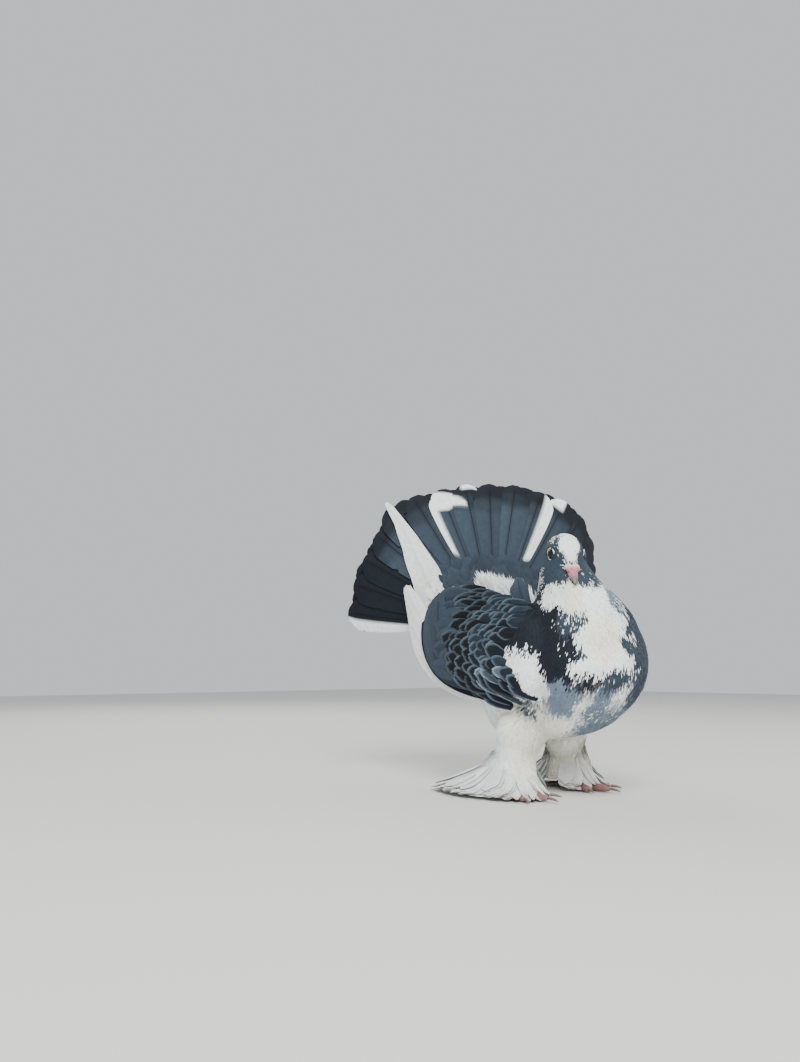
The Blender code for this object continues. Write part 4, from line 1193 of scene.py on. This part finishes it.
def skinSamples(mesh, count, seed):
    # random places on the skin: point, normal and place on the bake map
    source = np.random.default_rng(seed)
    mesh.calc_loop_triangles()
    corners = readAll(mesh.loop_triangles, "vertices", 3, np.int32)
    loops = readAll(mesh.loop_triangles, "loops", 3, np.int32)
    bake = readAll(mesh.uv_layers["OFBake"].data, "uv", 2)
    points = pointsOf(mesh)[corners]
    areas = np.linalg.norm(np.cross(points[:, 1] - points[:, 0], points[:, 2] - points[:, 0]), axis=1)
    chosen = source.choice(len(corners), count, p=areas / areas.sum())
    first = np.sqrt(source.random(count))
    second = source.random(count)
    weights = np.stack([1 - first, first * (1 - second), first * second], 1)[..., None]
    normal = unit((normalsOf(mesh)[corners[chosen]] * weights).sum(1))
    return (points[chosen] * weights).sum(1), normal, (bake[loops[chosen]] * weights).sum(1)


def evenly(points, spacing, seed):
    # keeps places no nearer than their spacing, by cells of a fine grid
    order = np.random.default_rng(seed).permutation(len(points))
    cells = np.floor(points[order] / spacing[order, None]).astype(np.int64)
    scale = np.round(spacing[order] * 1e6).astype(np.int64) // 120
    _, kept = np.unique(np.concatenate([cells, scale[:, None]], 1), axis=0, return_index=True)
    return np.sort(order[kept])


def hiddenByWing(points, normals):
    # true where the wing's own feathers lie close over the skin
    hidden = np.zeros(len(points), bool)
    edge = smoothNoise(points, 0.012, 31)[:, 0] * 0.0025
    for index, (point, normal) in enumerate(zip(points, normals)):
        place = wingTree.ray_cast(Vector(point + normal * 0.0005), Vector(normal), 0.016)[0]
        front = float(np.interp(point[2] - birdShift[2], *zip(*wingEdge))) + 0.004 + edge[index]
        hidden[index] = place is not None and place[1] - birdShift[1] > front
    return hidden


def awayFromFace(points, tips):
    # clear of the eyes and the bill
    clear = np.ones(len(points), bool)
    for side in (-1, 1):
        axis = eyeAxis(side)
        for ends in (points, (points + tips) / 2, tips):
            offset = ends - (eyeCentre(side) + birdShift)
            out = offset @ axis
            ring = np.linalg.norm(offset - out[:, None] * axis, axis=1)
            clear &= ~((ring < coat["eyeRing"]) & (out > -0.0005))
    near = np.where(np.linalg.norm(points - (headCentre + birdShift), axis=1) < 0.032)[0]
    for index in near:
        for end in (points[index], tips[index]):
            if billTree.find_nearest(Vector(end), coat["billGap"])[0] is not None:
                clear[index] = False
    return clear


def pressed(tree, points, heights):
    # moves points to a height over the skin, and gives the skin's direction there
    found = [tree.find_nearest(Vector(point))[:2] for point in points]
    places, facing = (np.array([hit[part] for hit in found]) for part in (0, 1))
    return places + facing * heights[:, None], facing


# A blade is a small feather of three rings of left, middle and right, then the tip
blade = {
    "shares": (0.0, 0.42, 0.84, 1.0),
    "widths": (0.55, 1.0, 0.66, 0.0),
    "shades": (0.84, 0.98, 1.02, 1.03),
    "rises": (0.62, 0.95, 1.0),
    "thickness": 0.00014,
    "round": 0.30,
    "bakePatch": 0.003,
    "most": 12000,
}


def bladeFaces(sample):
    # the last of each six lies underneath
    faces = [(0, 1, 2)]
    under = [True]
    for ring in (0, 3):
        for first, second in ((0, 1), (1, 2), (2, 0)):
            faces.append((ring + first, ring + 3 + first, ring + second))
            faces.append((ring + second, ring + 3 + first, ring + 3 + second))
            under += [second == 0] * 2
    faces += [(6, 9, 7), (7, 9, 8), (8, 9, 6)]
    under += [False, False, True]
    return outwards(sample, np.array(faces)), np.array(under)


def buildBlades(name, centres, facings, side, half, length, tint, bake):
    # small feathers from four places along each shaft, in joined meshes
    count = len(side)
    verts, smooth, tints, vane = (np.empty((count, 10, width)) for width in (3, 3, 3, 2))
    for at in range(10):
        ring = at // 3
        place = at % 3 - 1 if at < 9 else 0
        out = half * blade["widths"][ring] * place
        rise = facings[ring] * blade["thickness"] * (1 - abs(place)) * (at < 9)
        verts[:, at] = centres[ring] + side * out[:, None] + rise
        smooth[:, at] = facings[ring] + side * place * blade["round"]
        tints[:, at] = tint * blade["shades"][ring]
        vane[:, at, 0] = out * 1000
        vane[:, at, 1] = blade["shares"][ring] * length * 1000
    faces, under = bladeFaces(verts[0])
    cornerNormals = unit(smooth)[:, faces] * np.where(under, -1.0, 1.0)[None, :, None, None]
    acrossShare = np.array([-1, 0, 1] * 3 + [0]) * 0.43
    alongShare = np.array([blade["shares"][at // 3] for at in range(10)]) - 0.5
    patch = np.stack([acrossShare, alongShare], -1) * blade["bakePatch"]
    bakeUv = np.clip(bake[:, None] + patch[None], 0.0, 1.0)
    for number, start in enumerate(range(0, count, blade["most"])):
        part = slice(start, start + blade["most"])
        offsets = (np.arange(len(side[part])) * 10)[:, None, None]
        arrays = (verts[part], faces[None] + offsets, tints[part], bakeUv[part], vane[part],
                  cornerNormals[part])
        arrays = (values.reshape(-1, values.shape[-1]) for values in arrays)
        buildMesh(name + ("" if number == 0 else str(number + 1)), *arrays, coatFinish, "body_feathers")


def buildCoat(skin):
    lie = gatherLie()
    points, normals, bake = skinSamples(skin.data, coat["samples"], 91)
    kept = evenly(points, lieAt(points, lie)[1][:, 2], 92)
    points, normals, bake = points[kept], normals[kept], bake[kept]
    shown = ~hiddenByWing(points, normals)
    points, normals, bake = points[shown], normals[shown], bake[shown]
    direction, sizes = lieAt(points, lie)
    source = np.random.default_rng(93)
    direction = flattened(direction + source.normal(size=direction.shape) * coat["unruly"], normals)
    length = sizes[:, 0] * source.uniform(0.80, 1.12, len(points))
    clear = awayFromFace(points, points + direction * length[:, None]) & (points[:, 2] > coat["lowest"])
    everything = (points, normals, bake, direction, length, sizes)
    points, normals, bake, direction, length, sizes = (values[clear] for values in everything)
    count = len(points)
    print("coat blades:", count)
    half = sizes[:, 1] * source.uniform(0.85, 1.15, count)
    lift = sizes[:, 3] * source.uniform(0.85, 1.15, count)
    tree = treeOf(skin.data)
    centres = [points - normals * coat["sunk"]]
    facings = [normals]
    for share, rise in zip(blade["shares"][1:], blade["rises"]):
        place, facing = pressed(tree, points + direction * (length * share)[:, None], lift * rise)
        centres.append(place)
        facings.append(unit(facing * 0.5 + normals * 0.5))
    for place in centres:
        place[:, 2] = np.maximum(place[:, 2], coat["floorGap"])
    low = np.clip((coat["lowBelow"] - (points[:, 2] - birdShift[2])) / 0.02, 0, 1)[:, None]
    streak = coat["streakUpper"] + (coat["streakLower"] - coat["streakUpper"]) * low
    streak = streak * (1 - 0.75 * nearHead(points)[:, None])
    tint = markAt(points, 3, 0.0006, direction, streak)
    soft = np.mean([markAt(points, seed, 0.0016, direction, streak) for seed in coat["softSeeds"]], axis=0)
    tint = mixed(tint, soft, coat["blend"] * low[:, 0]) * source.uniform(0.94, 1.06, count)[:, None]
    fleck = source.random(count) < fleckShares(points) * (0.6 + 0.8 * smoothNoise(points, 0.004, 33)[:, 0])
    tint[fleck] = colours["white"] * 0.92
    side = unit(np.cross(direction, normals))
    local = points - birdShift
    isHead = nearHead(points) > 0.35
    isNeck = ~isHead & (local[:, 2] > coat["neckAbove"])
    isLeg = ~isHead & (local[:, 2] < coat["legsBelow"])
    isBreast = ~(isHead | isNeck | isLeg) & (local[:, 1] < coat["breastBefore"])
    groups = {
        "coatHead": isHead,
        "coatNeck": isNeck,
        "coatLegs": isLeg,
        "coatBreastRight": isBreast & (local[:, 0] < 0),
        "coatBreastLeft": isBreast & (local[:, 0] >= 0),
        "coatBack": ~(isHead | isNeck | isLeg | isBreast),
    }
    for name, chosen in groups.items():
        lines = ([place[chosen] for place in centres], [facing[chosen] for facing in facings])
        buildBlades(name, *lines, *(values[chosen] for values in (side, half, length, tint, bake)))


# Loose white plumes that rise from the rump in front of the fan, and one broad slate feather among them
rumpPlumes = {
    "middle": np.array((0.004, 0.029, 0.160)),
    "reach": 0.027,
    "samples": 260000,
    "count": 4800,
    "long": 0.034,
    "half": 0.00052,
    "lean": np.array((0.0, 0.30, 1.0)),
    "back": np.array((0.0, 1.0, 0.15)),
    "front": np.array((-0.55, -0.65, 0.35)),
}
loneFeather = {
    "foot": np.array((-0.0045, 0.0005, 0.1530)),
    "tip": np.array((-0.0075, 0.0115, 0.1830)),
    "bow": np.array((-0.004, 0, 0)),
    "face": np.array((-0.6, -0.75, 0.25)),
    "half": 0.0085,
    "rows": 16,
}


def buildPlumes(skin):
    points, normals, bake = skinSamples(skin.data, rumpPlumes["samples"], 95)
    source = np.random.default_rng(96)
    local = points - birdShift - rumpPlumes["middle"]
    near = np.linalg.norm(local * np.array((0.8, 1.3, 1.0)), axis=1) < rumpPlumes["reach"]
    chosen = np.where(near & (normals[:, 2] > 0.25))[0][: rumpPlumes["count"]]
    points, normals, bake = points[chosen], normals[chosen], bake[chosen]
    count = len(points)
    fall = np.linalg.norm(local[chosen], axis=1) / rumpPlumes["reach"]
    length = rumpPlumes["long"] * source.uniform(0.65, 1.1, count) * (1.1 - 0.5 * np.clip(fall, 0, 1))
    lean = rumpPlumes["lean"] + source.normal(size=(count, 3)) * np.array((0.30, 0.16, 0.05))
    lean = unit(lean + normals * 0.35)
    centres = [points - normals * 0.0006]
    for share in blade["shares"][1:]:
        bend = rumpPlumes["back"] * (length * 0.22 * share**2)[:, None]
        centres.append(points + lean * (length * share)[:, None] + bend)
    front = flattened(unit(rumpPlumes["front"] + source.normal(size=(count, 3)) * 0.12), lean)
    side = unit(np.cross(lean, front))
    tint = colours["white"][None] * source.uniform(0.90, 1.02, count)[:, None]
    half = np.full(count, rumpPlumes["half"])
    buildBlades("rumpPlumes", centres, [front] * 4, side, half, length, tint, bake)
    rows = loneFeather["rows"]
    shares = rowShares(rows)[:, None]
    rise = loneFeather["tip"] - loneFeather["foot"]
    centre = loneFeather["foot"] + rise * shares + loneFeather["bow"] * np.sin(shares * math.pi)
    across = unit(np.cross(unit(rise), unit(loneFeather["face"])))
    line = (centre, np.tile(across, (rows, 1)), np.tile(np.cross(across, unit(rise)), (rows, 1)))
    width = vaneWidth(rows, loneFeather["half"], 0.45, 0.62, 0.6)
    tint = plainTint(colours["slate"], colours["slate"] * 1.3, colours["slateDark"], source)
    bundle = []
    addFeather(bundle, line, width, tint, source, splits=1, fray=0.0003, roundTip=1.1, cup=0.18)
    closeBundle("rumpFeather", bundle, flightFinish, "body_feathers")


# Eyes, lids and bill
# Angles are degrees from the eye's axis
eye = {"radius": 0.0052, "bulge": 0.05, "bulgeWithin": 48, "flat": 0.90, "pupil": 27, "irisFrom": 28,
       "irisWide": 20}
lid = {"radius": 0.0046, "thick": 0.00047, "out": 0.0030, "narrow": 0.12, "slant": math.radians(35)}


def buildEyes():
    gloss = bareFinish("dark eye", 0.10, 900.0, 0.02, 0.25)
    lidSkin = bareFinish("bare lid skin", 0.5, 1600.0, 0.5)
    for name, side in sides.items():
        centre = eyeCentre(side) + birdShift
        turn = np.array(Vector((0, 0, 1)).rotation_difference(Vector(eyeAxis(side))).to_matrix())
        bpy.ops.object.select_all(action="DESELECT")
        bpy.ops.mesh.primitive_uv_sphere_add(segments=40, ring_count=28, radius=eye["radius"])
        ball = bpy.context.object
        ball.name = "eyeball" + name.capitalize()
        local = pointsOf(ball.data)
        polar = np.degrees(np.arccos(np.clip(local[:, 2] / eye["radius"], -1, 1)))
        within = polar < eye["bulgeWithin"]
        bulge = np.where(within, 1 + eye["bulge"] * (1 - (polar / eye["bulgeWithin"]) ** 2), 1.0)
        local = local * bulge[:, None] * np.array((1, 1, eye["flat"]))
        setPoints(ball.data, local @ turn.T + centre)
        iris = mixed(colours["iris"], colours["irisRim"], (polar - eye["irisFrom"]) / eye["irisWide"])
        paintPoints(ball.data, np.where((polar < eye["pupil"])[:, None], colours["pupil"], iris))
        finishPiece(ball, gloss, ("eye_" + name,))
        bpy.ops.object.select_all(action="DESELECT")
        bpy.ops.mesh.primitive_torus_add(major_radius=lid["radius"], minor_radius=lid["thick"],
                                         major_segments=48, minor_segments=10)
        rim = bpy.context.object
        rim.name = "lid" + name.capitalize()
        local = pointsOf(rim.data)
        around = np.arctan2(local[:, 1], local[:, 0])
        local[:, :2] *= (1 - lid["narrow"] * np.sin(around - lid["slant"] * side) ** 2)[:, None]
        local[:, 2] += lid["out"] + 0.0003 * np.cos(around * 2)
        setPoints(rim.data, local @ turn.T + centre)
        paintPoints(rim.data, colours["lid"])
        finishPiece(rim, lidSkin)


bill = {"root": (0.0, -0.0176, -0.0048), "nod": math.radians(31), "voxel": 0.00028, "hornFrom": 0.0115,
        "cereHeight": 0.0016, "cereEnd": 0.0085}


def buildBill():
    billSkin = bareFinish("cere and bill", 0.42, 700.0, 0.35)
    root = onHead(*bill["root"]) + birdShift
    billAxes = headAxes @ np.array(Matrix.Rotation(bill["nod"], 3, "X"))
    for node in ("bill_upper", "bill_lower"):
        horn = remeshed(joinAll([copyNode(node)], node.replace("_", "") + "Horn"), bill["voxel"], 4)
        local = (pointsOf(horn.data) - root) @ billAxes
        ahead = -local[:, 1]
        tints = mixed(colours["billRoot"], colours["billTip"], (ahead - bill["hornFrom"]) / 0.006)
        if node == "bill_upper":
            above = np.clip((local[:, 2] - bill["cereHeight"]) / 0.0015, 0, 1)
            before = np.clip((bill["cereEnd"] - ahead) / 0.003, 0, 1)
            tints = mixed(tints, colours["cere"], above * before)
        paintPoints(horn.data, tints)
        finishPiece(horn, billSkin, (node,))


toes = {"voxel": 0.00055, "scuteSpacing": 0.0021, "scuteHeight": 0.00022}


def buildFeet():
    footSkin = bareFinish("scaled toes", 0.55, 900.0, 0.4)
    clawHorn = bareFinish("claw horn", 0.4, 500.0, 0.2)
    clawNodes = []
    clawCopies = []
    for sideName in sides:
        foot = joinAll([copyNode("foot_" + sideName)], "toes" + sideName.capitalize())
        foot = remeshed(foot, toes["voxel"], 4)
        points = pointsOf(foot.data)
        normals = normalsOf(foot.data)
        away = np.linalg.norm(points[:, :2] - points[:, :2].mean(0), axis=1)
        scutes = np.cos(away / toes["scuteSpacing"] * 2 * math.pi)
        lift = toes["scuteHeight"] * np.clip(scutes + 0.4, -1, 1) * np.clip(normals[:, 2] + 0.3, 0, 1)
        points = points + normals * lift[:, None]
        points[:, 2] = np.maximum(points[:, 2], 0.0)
        setPoints(foot.data, points)
        # painted shade: the toes are darker in the grooves between the scutes
        shade = 0.82 + 0.18 * np.clip(scutes + 0.5, 0, 1)
        paintPoints(foot.data, colours["toe"][None] * shade[:, None])
        finishPiece(foot, footSkin, ("foot_" + sideName,))
        for number in range(1, 5):
            clawNodes.append(f"claw_{sideName}_{number}")
            clawCopies.append(copyNode(clawNodes[-1]))
    claws = joinAll(clawCopies, "claws")
    smooth = claws.modifiers.new("smooth", "SUBSURF")
    smooth.levels = 2
    smooth.render_levels = 2
    applyAll(claws)
    paintPoints(claws.data, colours["claw"])
    finishPiece(claws, clawHorn, clawNodes)


# Floor, lights and camera
studio = {
    "floor": (0.66, 0.65, 0.63, 1.0),
    "air": (0.95, 0.97, 1.0, 1.0),
    "airStrength": 0.75,
    "aim": Vector((0, 0, 0.12)),
    "lamps": {
        "key": ((-1.15, -1.15, 1.4), 0.9, 54.0),
        "fill": ((1.2, -1.0, 0.8), 1.2, 9.0),
        "rim": ((0.4, 1.3, 1.2), 0.8, 12.0),
    },
}


def buildStage():
    bpy.ops.object.select_all(action="DESELECT")
    bpy.ops.mesh.primitive_plane_add(size=6.0, location=(0, 0, -0.0002))
    floor = bpy.context.object
    floor.name = "floor"
    material = bpy.data.materials.new("pale floor")
    material.use_nodes = True
    shader = material.node_tree.nodes["Principled BSDF"]
    shader.inputs["Base Color"].default_value = studio["floor"]
    shader.inputs["Roughness"].default_value = 0.9
    floor.data.materials.append(material)
    world = bpy.data.worlds.new("studio")
    bpy.context.scene.world = world
    world.use_nodes = True
    background = world.node_tree.nodes["Background"]
    background.inputs["Color"].default_value = studio["air"]
    background.inputs["Strength"].default_value = studio["airStrength"]
    for name, (place, size, power) in studio["lamps"].items():
        lamp = bpy.data.lights.new(name, "AREA")
        lamp.size = size
        lamp.energy = power
        holder = newObject(name, lamp)
        holder.location = place
        holder.rotation_euler = (studio["aim"] - Vector(place)).to_track_quat("-Z", "Y").to_euler()


def buildCamera():
    lens = bpy.data.cameras.new("photoView")
    lens.sensor_width = photo["sensor"]
    lens.sensor_fit = "AUTO"
    lens.lens = photo["sensor"] * photo["focal"] / photo["height"]
    lens.clip_start = 0.01
    holder = newObject("photoView", lens)
    holder.location = cameraPlace
    holder.rotation_euler = Vector(viewAhead).to_track_quat("-Z", "Y").to_euler()
    bpy.context.scene.camera = holder


buildFan()
buildCoverts("tailCoverts", covertRows, colours["slate"] * 0.85, ("tail_coverts",), "flight_feathers",
             flightFinish, 51)
buildCoverts("undertailCoverts", undertailRows, colours["white"], ("undertail",), "white_feathers",
             whiteFinish, 52)
print("tail done")
for wingSide in sides:
    buildWing(wingSide)
print("wings done")
for footSide in sides:
    buildMuff(footSide)
buildFeet()
print("feet done")
birdSkin = buildSkin()
buildCoat(birdSkin)
buildPlumes(birdSkin)
print("coat done")
buildEyes()
buildBill()
print("head done")
buildStage()
buildCamera()
print("stage done")
